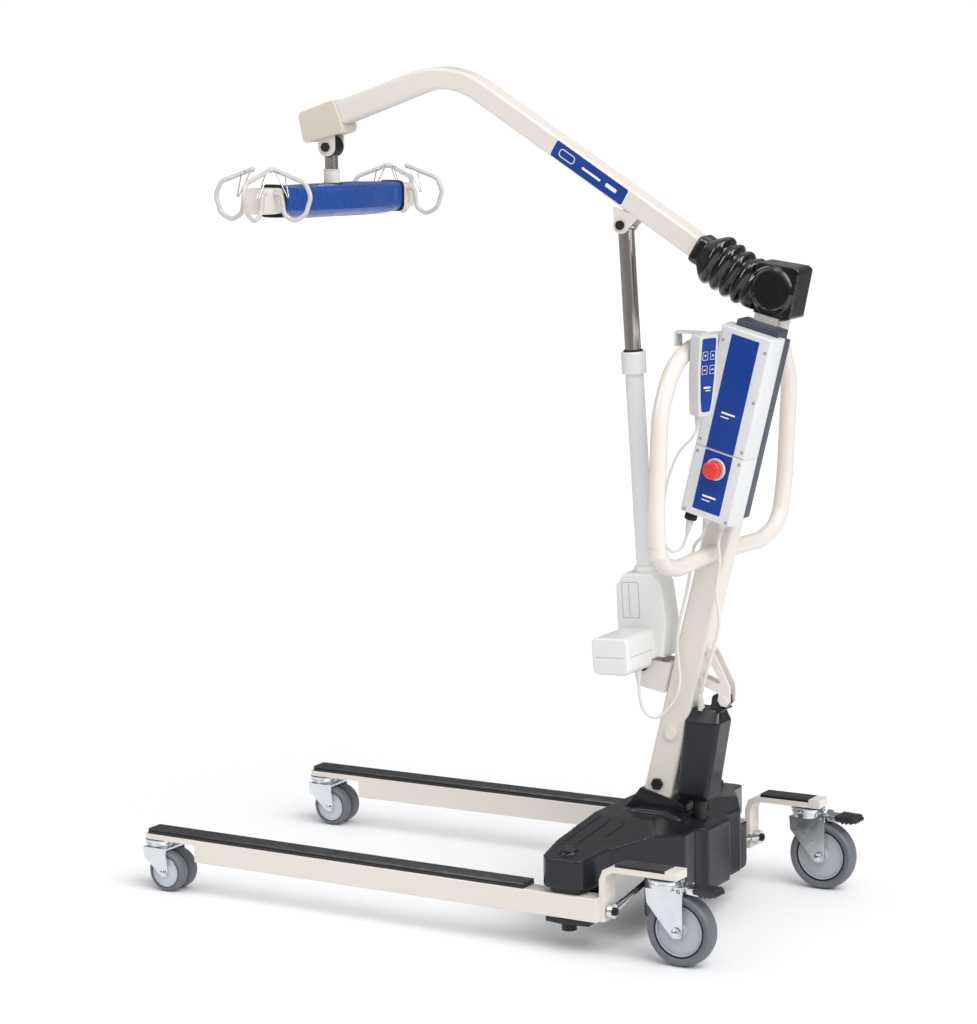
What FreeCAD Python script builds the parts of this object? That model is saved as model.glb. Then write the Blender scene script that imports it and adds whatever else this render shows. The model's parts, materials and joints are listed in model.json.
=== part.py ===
import FreeCAD, Part
import math
import os

# Powered patient lift hoist. Millimetres, +Z up, front (patient side, legs) towards -Y,
# +X is the hoist's left. Shapes are built with Y = 0 at the rear wheel contacts and
# moved by Y_SHIFT on export, so the origin ends up at the bottom centre of the whole.
V = FreeCAD.Vector
os.makedirs("parts", exist_ok=True)

# ---------------------------------------------------------------- driving dimensions
Y_SHIFT = 503.45         # moves the rear-wheel frame to the centre of the bounding box
MAST_RAKE = 14.3         # deg, mast leans back
MAST_W, MAST_D, MAST_T = 42.0, 54.0, 2.5
MAST_REF = V(0, -92.3, 577.4)   # a point on the mast axis
S_FOOT, S_TOP, S_PIVOT = -367.0, 512.0, 560.7   # stations along the mast axis
BOOM_W, BOOM_T = 40.0, 2.5
LIFT_TOP = V(0, -247.5, 1221.0)   # piston rod eye under the boom
LIFT_FOOT = V(0, -203.5, 450.0)   # actuator foot bolt on the mast bracket
SWIVEL = V(0, -852.0, 1344.0)     # boom end swivel bolt
CRADLE_YAW, CRADLE_TILT = 5.0, 2.9   # deg, how the spreader bar hangs at rest
CRADLE_DROP = 93.0                # bolt centre to bar centre
BAR_HALF, BAR_W, BAR_H = 292.0, 43.0, 46.0
HOOK_S, HOOK_R = 259.0, 4.0       # side hooks' station on the bar, rod radius
END_HOOK_Y = 19.0                 # end hooks sit this far off the bar's centre line
LEG_PIVOT = (289.0, -212.0)       # left leg's vertical pivot
LEG_TOE = -0.85                   # deg, legs toe in slightly when closed
LEG_Z0, LEG_Z1 = 61.0, 103.0      # leg tube bottom and top
STRIP_T = 10.0
GUARD_X = 196.0                   # outer edge of the guard behind each tie rod
REAR_STEM = (275.9, -30.0)        # rear caster stem in leg axes (before toe)
REAR_TRAIL, REAR_R, REAR_W = 30.0, 62.5, 32.0
FRONT_STEM = (289.0, -1076.0)
FRONT_TRAIL, FRONT_R = 27.0, 37.5
HANDLE_R, HANDLE_X = 14.5, 247.0
BOX_X0, BOX_X1, BOX_X2 = 21.0, 44.0, 87.5   # mast side, plate / body joint, box face
BOX_S0, BOX_SPLIT, BOX_S1 = 159.0, 279.0, 492.0
BOX_T = 52.0                      # half width of the box across the mast
PENDANT_CORD_R, LIFT_CORD_R, LEG_CORD_R = 2.25, 2.75, 3.0
LIFT_CORD_GAP = 0.4      # the lift cord stops this far below the housing, which tilts a little

rk = math.radians(MAST_RAKE)
AL = V(0, math.sin(rk), math.cos(rk))     # up the mast
NY = V(0, math.cos(rk), -math.sin(rk))    # square to the mast, towards the rear
EX = V(1, 0, 0)
BOOM_PIVOT = MAST_REF + AL * S_PIVOT


# ---------------------------------------------------------------- helpers
def box(x0, x1, y0, y1, z0, z1):
    return Part.makeBox(x1 - x0, y1 - y0, z1 - z0, V(x0, y0, z0))


def cyl(p, q, r):
    d = q - p
    return Part.makeCylinder(r, d.Length, p, d)


def xcyl(y, z, r, x0, x1):
    return Part.makeCylinder(r, x1 - x0, V(x0, y, z), V(1, 0, 0))


def prism(points, direction):
    face = Part.Face(Part.makePolygon(points + [points[0]]))
    return face.extrude(direction)


def prism_x(yz, x0, x1):
    return prism([V(x0, y, z) for y, z in yz], V(x1 - x0, 0, 0))


def prism_z(xy, z0, z1):
    return prism([V(x, y, z0) for x, y in xy], V(0, 0, z1 - z0))


def on_mast(x, s, t):
    """Point at x, station s up the mast and t behind its axis."""
    return MAST_REF + EX * x + AL * s + NY * t


def mast_box(x0, x1, s0, s1, t0, t1):
    pts = [on_mast(x0, s, t) for s, t in ((s0, t0), (s1, t0), (s1, t1), (s0, t1))]
    return prism(pts, V(x1 - x0, 0, 0))


def fuse(shapes):
    out = shapes[0]
    for s in shapes[1:]:
        out = out.fuse(s)
    return out.removeSplitter()


def cut(shape, tools):
    for t in tools:
        shape = shape.cut(t)
    return shape


def soften(shape, r, pick):
    """Fillet the edges that pick() accepts; a chamfer stands in where a fillet fails."""
    edges = [e for e in shape.Edges if pick(e)]
    if not edges:
        return shape
    for make in (shape.makeFillet, shape.makeChamfer):
        for k in (1.0, 0.6):
            try:
                out = make(r * k, edges)
                if out.isValid() and len(out.Solids) == len(shape.Solids):
                    return out
            except Exception:
                pass
    return shape


def along(e, d, tol=0.02):
    if len(e.Vertexes) < 2 or e.Curve.TypeId != "Part::GeomLine":
        return False
    v = (e.Vertexes[-1].Point - e.Vertexes[0].Point)
    return v.Length > 1 and abs(abs(v.normalize().dot(d)) - 1) < tol


def path_wire(pts, radii):
    """Straight runs joined by tangent arcs; radii[i] belongs to inner point i + 1."""
    edges, last = [], pts[0]
    for i in range(1, len(pts) - 1):
        a = (pts[i - 1] - pts[i]).normalize()
        b = (pts[i + 1] - pts[i]).normalize()
        half = math.acos(max(-1, min(1, a.dot(b)))) / 2.0
        r = radii[i - 1]
        d = r / math.tan(half)
        bis = (a + b).normalize()
        p1, p2 = pts[i] + a * d, pts[i] + b * d
        mid = pts[i] + bis * (r / math.sin(half) - r)
        if (p1 - last).Length > 0.01:
            edges.append(Part.LineSegment(last, p1).toShape())
        edges.append(Part.Arc(p1, mid, p2).toShape())
        last = p2
    edges.append(Part.LineSegment(last, pts[-1]).toShape())
    return Part.Wire(edges)


def pipe(wire, r):
    first = wire.OrderedEdges[0]
    p = wire.OrderedVertexes[0].Point
    t = first.tangentAt(first.FirstParameter)
    q = first.valueAt(first.FirstParameter)
    if (q - p).Length > 0.01:
        t = first.tangentAt(first.LastParameter) * -1
    circle = Part.Wire([Part.makeCircle(r, p, t)])
    return wire.makePipeShell([circle], True, False)


def rod(pts, radii, r):
    return pipe(path_wire(pts, radii), r)


def turn_x(profile_rx, centre):
    """Revolve a (radius, x offset) outline about the X axis through centre."""
    pts = [centre + V(x, 0, r) for r, x in profile_rx]
    face = Part.Face(Part.makePolygon(pts + [pts[0]]))
    return face.revolve(centre, V(1, 0, 0), 360)


def bolt_x(y, z, r, x0, x1, head_r, head_h, side=1):
    """Shank along X from x0 to x1 with a hex head on the +X or -X end."""
    shank = xcyl(y, z, r, x0, x1)
    base = x1 if side > 0 else x0 - head_h
    hexa = [V(base, y + head_r * math.cos(a), z + head_r * math.sin(a))
            for a in [math.radians(60 * k) for k in range(6)]]
    return shank.fuse(prism(hexa, V(head_h, 0, 0))).removeSplitter()


def mirror_x(shape):
    return shape.mirror(V(0, 0, 0), V(1, 0, 0))


def leg_axes(shape):
    """Place a shape built in the left leg's own axes (adds the toe angle)."""
    s = shape.copy()
    s.rotate(V(LEG_PIVOT[0], LEG_PIVOT[1], 0), V(0, 0, 1), LEG_TOE)
    return s


def export(name, shape):
    s = shape.copy()
    s.translate(V(0, Y_SHIFT, 0))
    if not s.isValid():
        print("INVALID", name)
    vol = sum(b.Volume for b in s.Solids)
    print("%-22s solids %d  volume %.0f" % (name, len(s.Solids), vol))
    s.exportStep("parts/%s.step" % name)


def export_pair(name, left, right=None):
    export(name + "_left", left)
    export(name + "_right", right if right else mirror_x(left))


# ---------------------------------------------------------------- mast and its brackets
def make_mast():
    outer = mast_box(-MAST_W / 2, MAST_W / 2, S_FOOT, S_TOP, -MAST_D / 2, MAST_D / 2)
    outer = soften(outer, 6, lambda e: along(e, AL))
    a, b = MAST_W / 2 - MAST_T, MAST_D / 2 - MAST_T
    inner = mast_box(-a, a, S_FOOT - 5, S_TOP + 5, -b, b)
    inner = soften(inner, 3.5, lambda e: along(e, AL))
    tube = outer.cut(inner)
    # the front lip is cut back so that the boom can swing down
    tube = tube.cut(mast_box(-60, 60, S_TOP - 14, S_TOP + 5, -40, -10))
    # ears either side of the boom pivot
    ears = []
    for x0, x1 in ((21.0, 26.0), (-26.0, -21.0)):
        plate = mast_box(x0, x1, S_TOP - 45, S_PIVOT, -22, 22)
        ears.append(plate.fuse(xcyl(BOOM_PIVOT.y, BOOM_PIVOT.z, 22, x0, x1)))
    bore = xcyl(BOOM_PIVOT.y, BOOM_PIVOT.z, 8.0, -40, 40)
    # channel bracket for the lift actuator's foot, on the front face
    side = [(-217, 446), (-214, 456), (-203, 463), (-146, 458), (-160, 404), (-212, 413)]
    ch = prism_x(side, -28, 28)
    ch = ch.cut(prism_x([(-230, 395), (-172, 388), (-155, 475), (-230, 485)], -24, 24))
    ch = ch.cut(mast_box(-60, 60, -400, 100, -MAST_D / 2, 60))
    ch = ch.cut(xcyl(LIFT_FOOT.y, LIFT_FOOT.z, 6.0, -40, 40))
    # stand-off that carries the handles' cross tube
    off = box(-16, 16, -36, 10, 1016, 1044)
    off = off.cut(mast_box(-60, 60, 300, S_TOP + 90, -MAST_D / 2, 80))
    off = off.cut(make_handles())
    body = fuse([tube] + ears + [ch, off])
    foot = xcyl(-180.4, 238.5, 6.0, -40, 40)
    return cut(body, [bore, foot])


def make_socket():
    """Black wedge on the base that the mast stands in."""
    front = on_mast(0, S_FOOT, -MAST_D / 2)
    rear = on_mast(0, S_FOOT, MAST_D / 2)
    yz = [(-245, 168), (-245, 188), (front.y - 4, front.z + 1), (front.y, front.z),
          (rear.y, rear.z), (rear.y + 9, rear.z + 2), (-130, 205), (-126, 168)]
    body = prism_x(yz, -26, 26)
    spigot = mast_box(-16.5, 16.5, S_FOOT - 1, S_FOOT + 60, -22.5, 22.5)
    body = soften(body, 3, lambda e: along(e, EX)).fuse(spigot).removeSplitter()
    return body.cut(xcyl(-180.4, 238.5, 6.06, -40, 40))


# ---------------------------------------------------------------- base
def cover_plan(k):
    """Plan outline of the base cover, moved inwards by k."""
    half = [(0, -274 + k), (230, -268 + k), (300 - k, -256 + k), (312 - k, -244 + k),
            (312 - k, -184 - k), (303 - k, -176 - k), (240 - k * 0.6, -160 - k),
            (120 - k * 0.6, -90 - k), (108 - k, -82 - k),
            (60 - k * 0.4, -84 - k), (50 - k, -80 - k), (44 - k, -70 - k)]
    return half + [(-x, y) for x, y in reversed(half) if x > 0]


def make_cover():
    outer = prism_z(cover_plan(0), 62, 192)
    outer = soften(outer, 7, lambda e: along(e, V(0, 0, 1)))
    inner = prism_z(cover_plan(4), 50, 188)
    roof, roof_in, under = [], [], []
    for s in (1, -1):
        wedge = [V(s * x, -320, z) for x, z in ((95, 192), (330, 163), (330, 230), (95, 230))]
        roof.append(prism(wedge, V(0, 300, 0)))
        wedge = [V(s * x, -320, z) for x, z in ((95, 188), (330, 159), (330, 230), (95, 230))]
        roof_in.append(prism(wedge, V(0, 300, 0)))
        # arms sit above the legs, so the skirt stops short out there
        under.append(box(*sorted((s * 236, s * 330)), -330, -100, 0, 112.5))
        under.append(box(*sorted((s * 128, s * 240)), -330, -60, 0, 100))
        under.append(box(*sorted((s * 160, s * 242)), -170, -95, 0, 132))
    # the top falls away behind the mast, towards the motor rod
    rear = prism_x([(-150, 260), (-150, 192), (-60, 172), (-60, 260)], -330, 330)
    rear_in = prism_x([(-150, 260), (-150, 188), (-60, 168), (-60, 260)], -330, 330)
    outer = cut(outer, roof + [rear])
    inner = cut(inner, roof_in + [rear_in])
    inner = inner.cut(box(-330, 330, -330, -40, 0, 61))
    shell = cut(outer, [inner] + under)
    # raised saddle that wraps the mast socket
    yz = [(-262, 178), (-232, 193), (-205, 199), (-150, 199), (-118, 190), (-118, 178)]
    shell = shell.fuse(prism_x(yz, -56, 56))
    # round boss over each leg pivot, three long grooves on each arm
    for s in (1, -1):
        shell = shell.fuse(Part.makeCylinder(17, 12, V(s * 276, -219, 162), V(0, 0, 1)))
        for y0, y1, x0, x1 in ((-254, -250, 90, 262), (-228, -224, 110, 250), (-196, -192, 120, 196)):
            g = [V(s * x, y0, z) for x, z in ((x0, 193.5), (x1, 193.5 - (x1 - x0) * 0.1234),
                 (x1, 189.0 - (x1 - x0) * 0.1234), (x0, 189.0))]
            lift = (x0 - 95) * -0.1234 if x0 > 95 else 0
            g = [p + V(0, 0, lift) for p in g]
            shell = shell.cut(prism(g, V(0, y1 - y0, 0)))
    # openings: mast socket and motor push rod
    shell = shell.cut(box(-26.0, 26.0, -245, -126, 100, 230))
    shell = shell.cut(Part.makeCylinder(15.5, 100, V(0, -108, 140), V(0, 0, 1)))
    # hanging guard behind each tie rod
    for s in (1, -1):
        web = box(*sorted((s * 120, s * GUARD_X)), -117, -113, 46, 130)
        web = soften(web, 12, lambda e: along(e, V(0, 1, 0)) and e.CenterOfMass.z < 60)
        shell = shell.fuse(web)
    return shell.removeSplitter()


def make_base_frame():
    """Steel cross member with a fork for each leg pivot (mostly under the cover)."""
    px, py = LEG_PIVOT
    parts = [box(-80, 80, -240, -150, 112, 156), box(-26, 26, -245, -126, 150, 168)]
    for s in (1, -1):
        arm = prism_z([(s * 60, -238), (s * 262, -236), (s * 262, -188), (s * 60, -160)], 114, 150)
        top = prism_z([(s * 250, -244), (s * 303, -240), (s * 303, -184), (s * 250, -180)], 105, 114.2)
        low = prism_z([(s * 232, -256), (s * 300, -252), (s * 307, -212), (s * 300, -168),
                       (s * 232, -172)], 50, 59.5)
        web = box(*sorted((s * 226, s * 238)), -246, -178, 50, 120)
        parts += [arm, top, low, web]
    # guide frame for the cross-head under the cover
    parts.append(box(-80, 80, -152, -146, 84, 150))
    body = fuse(parts)
    tools = [Part.makeCylinder(8.0, 120, V(s * px, py, 20), V(0, 0, 1)) for s in (1, -1)]
    return cut(body, tools)


def make_bolts():
    """Pins, bolts and plugs that stay with the frame, as one group."""
    px, py = LEG_PIVOT
    out = []
    for s in (1, -1):
        pin = Part.makeCylinder(8.0, 74, V(s * px, py, 46), V(0, 0, 1))
        head = Part.makeCylinder(13.0, 13, V(s * px, py, 37), V(0, 0, 1))
        out.append(pin.fuse(head).removeSplitter())
    out.append(bolt_x(BOOM_PIVOT.y, BOOM_PIVOT.z, 7.94, -26, 26, 12, 5))
    out.append(bolt_x(LIFT_FOOT.y, LIFT_FOOT.z, 5.94, -28, 28, 9, 6))
    out.append(bolt_x(-180.4, 238.5, 5.94, -21, 21, 11, 7))
    plug = xcyl(-153.0, 332.0, 13.5, 21.0, 23.0).fuse(xcyl(-153.0, 332.0, 10.0, 21.0, 27.0))
    out.append(plug.removeSplitter())
    return Part.makeCompound(out)


def make_handles():
    out = []
    for s in (1, -1):
        pts = [V(s * 0.1, -47, 1030), V(s * 110, -47, 1040), V(s * 205, -50, 1012),
               V(s * HANDLE_X, -53, 930), V(s * HANDLE_X, -63, 740), V(s * 228, -66, 672),
               V(s * 160, -68, 655), V(s * 21, -71, 659)]
        radii = [300, 110, 100, 400, 60, 60]
        tube = rod(pts, radii, HANDLE_R)
        out.append(tube.cut(mast_box(-MAST_W / 2, MAST_W / 2, -400, 600, -27, 27)))
    return Part.makeCompound(out)


# ---------------------------------------------------------------- control box and pendant
def box_body(s0, s1):
    section = [(BOX_X1, -BOX_T), (BOX_X1 + 14, -BOX_T), (BOX_X2 - 4, -49), (BOX_X2, -45),
               (BOX_X2, 45), (BOX_X2 - 4, 49), (BOX_X1 + 14, BOX_T), (BOX_X1, BOX_T)]
    return prism([on_mast(x, s0, t) for x, t in section], AL * (s1 - s0))


def make_plate():
    p = mast_box(BOX_X0, BOX_X1, 168, 488, -BOX_T, BOX_T)
    p = soften(p, 3, lambda e: along(e, EX))
    top = mast_box(BOX_X0, 60, BOX_S1 + 0.3, 503, -36, 44).fuse(
        mast_box(BOX_X0, BOX_X1, 480, 503, -36, 44))
    return p.fuse(top).cut(mast_box(20, 26.3, 460, 510, -22.3, 22.3)).removeSplitter()


def make_control_box():
    b = box_body(BOX_S0, BOX_SPLIT - 0.4)
    ring = cyl(on_mast(BOX_X2 - 1, 248, 0), on_mast(BOX_X2 + 3.0, 248, 0), 19)
    b = b.fuse(ring)
    return b.cut(cyl(on_mast(BOX_X2 - 12, 248, 0), on_mast(BOX_X2 + 5, 248, 0), 7.0))


def make_estop():
    stem = cyl(on_mast(BOX_X2 - 6, 248, 0), on_mast(BOX_X2 + 12, 248, 0), 6.5)
    cap = cyl(on_mast(BOX_X2 + 9, 248, 0), on_mast(BOX_X2 + 20, 248, 0), 16)
    cap = soften(cap, 4, lambda e: e.BoundBox.XMin > BOX_X2 + 18)
    return stem.fuse(cap).removeSplitter()


def make_battery():
    b = box_body(BOX_SPLIT, BOX_S1)
    return soften(b, 3, lambda e: along(e, NY) and e.CenterOfMass.x > BOX_X2 - 1)


# x, offset across the mast, body radius, body length, end radius, total length
PLUGS = ((72.0, -32.0, 11.0, 14.0, 4.5, 40.0), (62.0, -6.0, 6.5, 12.0, 4.4, 26.0),
         (62.0, 24.0, 6.5, 12.0, 4.4, 26.0))


def make_plugs():
    out = []
    for x, t, r, h, r2, total in PLUGS:
        a = cyl(on_mast(x, BOX_S0, t), on_mast(x, BOX_S0 - h, t), r)
        b = Part.makeCone(min(r * 0.85, 7.0), r2, total - h, on_mast(x, BOX_S0 - h, t), AL * -1)
        out.append(a.fuse(b).removeSplitter())
    return Part.makeCompound(out)


PEND_X, PEND_Y0, PEND_Y1, PEND_Z0, PEND_Z1 = 160.0, -23.0, 0.0, 920.0, 1058.0
PEND_LEAN, PEND_YAW = -4.5, -18.0   # deg about X and Z, through the top front edge
BUTTONS = ((-9.0, 104.0), (9.0, 104.0), (-9.0, 80.0), (9.0, 80.0))   # x, height on the case


def pendant_axes(shape):
    s = shape.copy()
    s.rotate(V(0, PEND_Y0, PEND_Z1), V(1, 0, 0), PEND_LEAN)
    s.rotate(V(PEND_X, PEND_Y0, 0), V(0, 0, 1), PEND_YAW)
    return s


def make_pendant():
    """Hand control: tapers downwards, four button pockets on the rear face."""
    x, z = PEND_X, PEND_Z0
    outline = [(-15, 0), (15, 0), (19, 30), (22, 70), (22, 138), (-22, 138), (-22, 70), (-19, 30)]
    body = prism([V(x + a, PEND_Y0, z + b) for a, b in outline], V(0, PEND_Y1 - PEND_Y0, 0))
    body = soften(body, 4, lambda e: along(e, V(0, 1, 0)))
    body = soften(body, 2, lambda e: e.BoundBox.YLength < 0.1)
    for bx, bz in BUTTONS:
        body = body.cut(box(x + bx - 7, x + bx + 7, PEND_Y1 - 4, PEND_Y1 + 3, z + bz - 8, z + bz + 8))
    gland = Part.makeCylinder(5.0, 16, V(x, PEND_Y0 + 6, z - 12), V(0, 0, 1))
    return pendant_axes(body.fuse(gland).removeSplitter())


def make_button(bx, bz):
    x, z = PEND_X + bx, PEND_Z0 + bz
    b = box(x - 6.7, x + 6.7, PEND_Y1 - 2.2, PEND_Y1 + 1.6, z - 7.7, z + 7.7)
    b = soften(b, 1.0, lambda e: e.BoundBox.YLength < 0.1 and e.BoundBox.YMin > PEND_Y1 + 1.4)
    return pendant_axes(b)


def make_pendant_holder():
    """Grey strap over the handle tube, fixed to the top of the hand control."""
    x0, x1 = PEND_X - 12, PEND_X + 10
    top = 1043.0
    strap = box(x0, x1, -66, PEND_Y0 + 8, top + 14, top + 18)
    strap = strap.fuse(box(x0, x1, -66, -62, top - 8, top + 18))
    strap = strap.cut(pendant_axes(box(x0 - 5, x1 + 5, PEND_Y0 - 0.01, PEND_Y1, 900, PEND_Z1)))
    strap = strap.fuse(pendant_axes(box(x0, x1, PEND_Y0, PEND_Y0 + 12, PEND_Z1, PEND_Z1 + 2)))
    strap = strap.cut(make_handles())
    return max(strap.Solids, key=lambda s: s.Volume)


# ---------------------------------------------------------------- boom
def make_boom():
    def low_rear(y):
        return 1098.9 - 0.615 * y

    def top_rear(y):
        return 1145.1 - 0.609 * y

    def top_front(y):
        return 1705.4 + 0.337 * y

    def low_front(y):
        return 1672.5 + 0.352 * y
    y_end, z_end = BOOM_PIVOT.y, BOOM_PIVOT.z
    foot = [(30.0, low_rear(30.0)), (64.0, top_rear(64.0))]
    apex_top = (1705.4 - 1145.1) / (-0.609 - 0.337)
    apex_low = (1672.5 - 1098.9) / (-0.615 - 0.352)
    nose = -893.0

    def outline():
        return [V(0, foot[0][0], foot[0][1]), V(0, foot[1][0], foot[1][1]),
                V(0, apex_top, top_rear(apex_top)), V(0, nose, top_front(nose)),
                V(0, nose + 14, low_front(nose + 14)), V(0, apex_low, low_rear(apex_low))]
    pts = outline()

    def loop(p, r_top, r_low):
        def corner(i, r):
            a = (p[i - 1] - p[i]).normalize()
            b = (p[(i + 1) % 6] - p[i]).normalize()
            half = math.acos(a.dot(b)) / 2
            d = r / math.tan(half)
            mid = p[i] + (a + b).normalize() * (r / math.sin(half) - r)
            return p[i] + a * d, mid, p[i] + b * d
        t1, tm, t2 = corner(2, r_top)
        l1, lm, l2 = corner(5, r_low)
        seq = [Part.LineSegment(p[0], p[1]), Part.LineSegment(p[1], t1), Part.Arc(t1, tm, t2),
               Part.LineSegment(t2, p[3]), Part.LineSegment(p[3], p[4]), Part.LineSegment(p[4], l1),
               Part.Arc(l1, lm, l2), Part.LineSegment(l2, p[0])]
        return Part.Wire([s.toShape() for s in seq])
    wire = loop(pts, 175, 135)
    outer = Part.Face(wire).extrude(V(BOOM_W, 0, 0))
    outer.translate(V(-BOOM_W / 2, 0, 0))
    outer = soften(outer, 5, lambda e: abs(abs(e.CenterOfMass.x) - BOOM_W / 2) < 0.1
                   and e.Length > 60)
    inner_wire = wire.makeOffset2D(-BOOM_T)
    inner = Part.Face(inner_wire).extrude(V(BOOM_W - 2 * BOOM_T, 0, 0))
    inner.translate(V(-BOOM_W / 2 + BOOM_T, 0, 0))
    tube = outer.cut(inner)
    # pivot barrel at the rear end
    barrel = xcyl(y_end, z_end, 20, -20.6, 20.6)
    # ears for the piston rod eye
    ears = []
    for x0, x1 in ((15.0, 20.0), (-20.0, -15.0)):
        yz = [(-262, 1252), (-259, 1214), (-236, 1214), (-212, 1236)]
        plate = prism_x(yz, x0, x1).cut(prism_x([(-300, low_rear(-300) + 4), (-180, low_rear(-180) + 4),
                                                 (-180, 1400), (-300, 1400)], x0 - 1, x1 + 1))
        ears.append(plate.fuse(xcyl(LIFT_TOP.y, LIFT_TOP.z, 15.0, x0, x1)))
    # swivel ears under the nose
    for x0, x1 in ((13.0, 18.0), (-18.0, -13.0)):
        plate = box(x0, x1, -869, -835, 1344, 1384)
        ears.append(plate.fuse(xcyl(SWIVEL.y, SWIVEL.z, 17, x0, x1)))
    body = fuse([tube, barrel] + ears)
    return cut(body, [xcyl(y_end, z_end, 8.0, -40, 40), xcyl(SWIVEL.y, SWIVEL.z, 7.0, -40, 40)])


def make_end_cap():
    yz = [(-906, 1398), (-903, 1406), (-834, 1429.5), (-828, 1426), (-811, 1382), (-814, 1370),
          (-826, 1367), (-890, 1351), (-897, 1355)]
    cap = prism_x(yz, -25.5, 25.5)
    cap = soften(cap, 4, lambda e: abs(abs(e.CenterOfMass.x) - 25.5) < 0.1 and e.Length > 12)
    nose = make_boom_block()
    cap = cap.cut(nose)
    cap = cap.cut(box(-18.0, 18.0, -874, -830, 1330, 1392))
    return max(cap.Solids, key=lambda s: s.Volume)


def make_boom_block():
    """The boom nose as a plain block, to seat the end cap on."""
    yz = [(-893, 1705.4 - 0.337 * 893), (-750, 1705.4 - 0.337 * 750), (-750, 1672.5 - 0.352 * 750),
          (-879, 1672.5 - 0.352 * 879)]
    return prism_x(yz, -20, 20)


def make_boom_bolts():
    out = [bolt_x(SWIVEL.y, SWIVEL.z, 6.94, -18, 18, 9, 5)]
    for s in (1, -1):
        x0, x1 = (20.0, 25.0) if s > 0 else (-25.0, -20.0)
        out.append(xcyl(LIFT_TOP.y, LIFT_TOP.z, 8.0, x0, x1))
    return Part.makeCompound(out)


def make_bellows():
    """Front half of the rubber boot, which rides with the boom."""
    d = V(0, 1, -0.612).normalize()
    up = V(0, 0.612, 1).normalize()
    mid = V(0, -111, 1186)
    rings = [(0, 30, 26), (10, 31, 27), (22, 36, 36), (34, 33, 44), (40, 30, 38), (50, 34, 45), (58, 30, 40),
             (68, 34, 45), (74, 30, 40)]
    loops = []
    for s, hx, hz in rings:
        c = mid + d * s + up * (-0.12 * s)
        pts = []
        for k in range(24):
            a = 2 * math.pi * k / 24
            ca, sa = math.cos(a), math.sin(a)
            pts.append(c + V(hx * math.copysign(abs(ca) ** 0.6, ca), 0, 0)
                       + up * (hz * math.copysign(abs(sa) ** 0.6, sa)))
        loops.append(Part.makePolygon(pts + [pts[0]]))
    body = Part.makeLoft(loops, True, True)
    inner = prism_x([(-150, 1098.9 + 0.615 * 150 - 0.3), (0, 1098.6), (0, 1145.4),
                     (-150, 1145.1 + 0.609 * 150 + 0.3)], -20.3, 20.3)
    clear = prism_x([(-60, 1100), (20, 1060), (60, 1180), (-60, 1220)], -27.5, 27.5)
    return body.cut(inner).cut(clear.common(prism_x([(-44, 1000), (60, 1000), (60, 1300),
                                                     (-44, 1300)], -30, 30)))


def make_boot():
    """Rubber housing over the mast head."""
    out = [(13, 1164), (20, 1168), (90, 1159.5), (97, 1153), (79, 1071), (72, 1068), (10, 1082)]
    yz_in = [(-10, 1166), (16, 1164.5), (88, 1155.5), (92.5, 1150), (74, 1060), (-10, 1060)]
    shell = prism_x(out, -29, 29)
    shell = soften(shell, 3, lambda e: abs(abs(e.CenterOfMass.x) - 29) < 0.1 and e.Length > 20)
    shell = shell.cut(prism_x(yz_in, -26, 26))
    for s in (1, -1):
        x0, x1 = (28.0, 34.0) if s > 0 else (-34.0, -28.0)
        disc = xcyl(BOOM_PIVOT.y, BOOM_PIVOT.z, 38, x0, x1)
        disc = disc.common(prism_x(out, -40, 40).fuse(disc))
        shell = shell.fuse(disc)
    shell = shell.cut(xcyl(BOOM_PIVOT.y, BOOM_PIVOT.z, 13.0, -31.2, 31.2))
    return shell.cut(prism_x(yz_in, -26, 26)).removeSplitter()


# ---------------------------------------------------------------- lift actuator
AX = (LIFT_TOP - LIFT_FOOT).normalize()
AXP = V(0, AX.z, -AX.y)      # square to the actuator axis, towards the rear


def act(u, w, x=0.0):
    """Point w up the actuator from its foot, u behind its axis."""
    return LIFT_FOOT + AX * w + AXP * u + EX * x


def act_box(x0, x1, u0, u1, w0, w1):
    return prism([act(u, w, x0) for u, w in ((u0, w0), (u1, w0), (u1, w1), (u0, w1))], V(x1 - x0, 0, 0))


def make_lift_motor():
    col = prism([act(u, w, -27) for u, w in ((-50, 62), (-48, 140), (-28, 164), (26, 164), (42, 142),
                 (48, 80), (38, 15), (-22, 15), (-50, 40))], V(54, 0, 0))
    col = soften(col, 9, lambda e: abs(abs(e.CenterOfMass.x) - 27) < 0.1 and e.Length > 40)
    motor = act_box(20, 127, -48, 24, 0, 66)
    motor = soften(motor, 12, lambda e: along(e, EX))
    motor = soften(motor, 5, lambda e: e.BoundBox.XMin > 126.5)
    foot = act_box(-16, 16, -13, 13, -1, 16).fuse(xcyl(LIFT_FOOT.y, LIFT_FOOT.z, 13, -16, 16))
    motor = motor.cut(act_box(-40, 42, -60, 60, -40, 14.9))
    body = fuse([col, motor, foot])
    body = body.cut(xcyl(LIFT_FOOT.y, LIFT_FOOT.z, 6.0, -60, 26))
    return body.cut(cyl(act(0, 120), act(0, 200), 16.0))


def make_lift_tube():
    tube = cyl(act(0, 120), act(0, 514), 16.0)
    collar = cyl(act(0, 512), act(0, 551), 21.5)
    collar = soften(collar, 2, lambda e: e.Curve.TypeId == "Part::GeomCircle")
    body = tube.fuse(collar)
    return body.cut(cyl(act(0, 124), act(0, 560), 14.06)).removeSplitter()


def make_piston():
    top = (LIFT_TOP - LIFT_FOOT).Length
    r = cyl(act(0, 400), act(0, top - 9), 14.0)
    r = r.cut(cyl(act(0, 390), act(0, top - 60), 9.0))
    eye = xcyl(LIFT_TOP.y, LIFT_TOP.z, 12.0, -12, 12)
    neck = cyl(act(0, top - 14), act(0, top), 10.0)
    pin = xcyl(LIFT_TOP.y, LIFT_TOP.z, 6.0, -14, 14)
    return fuse([r, neck, eye, pin])


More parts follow.
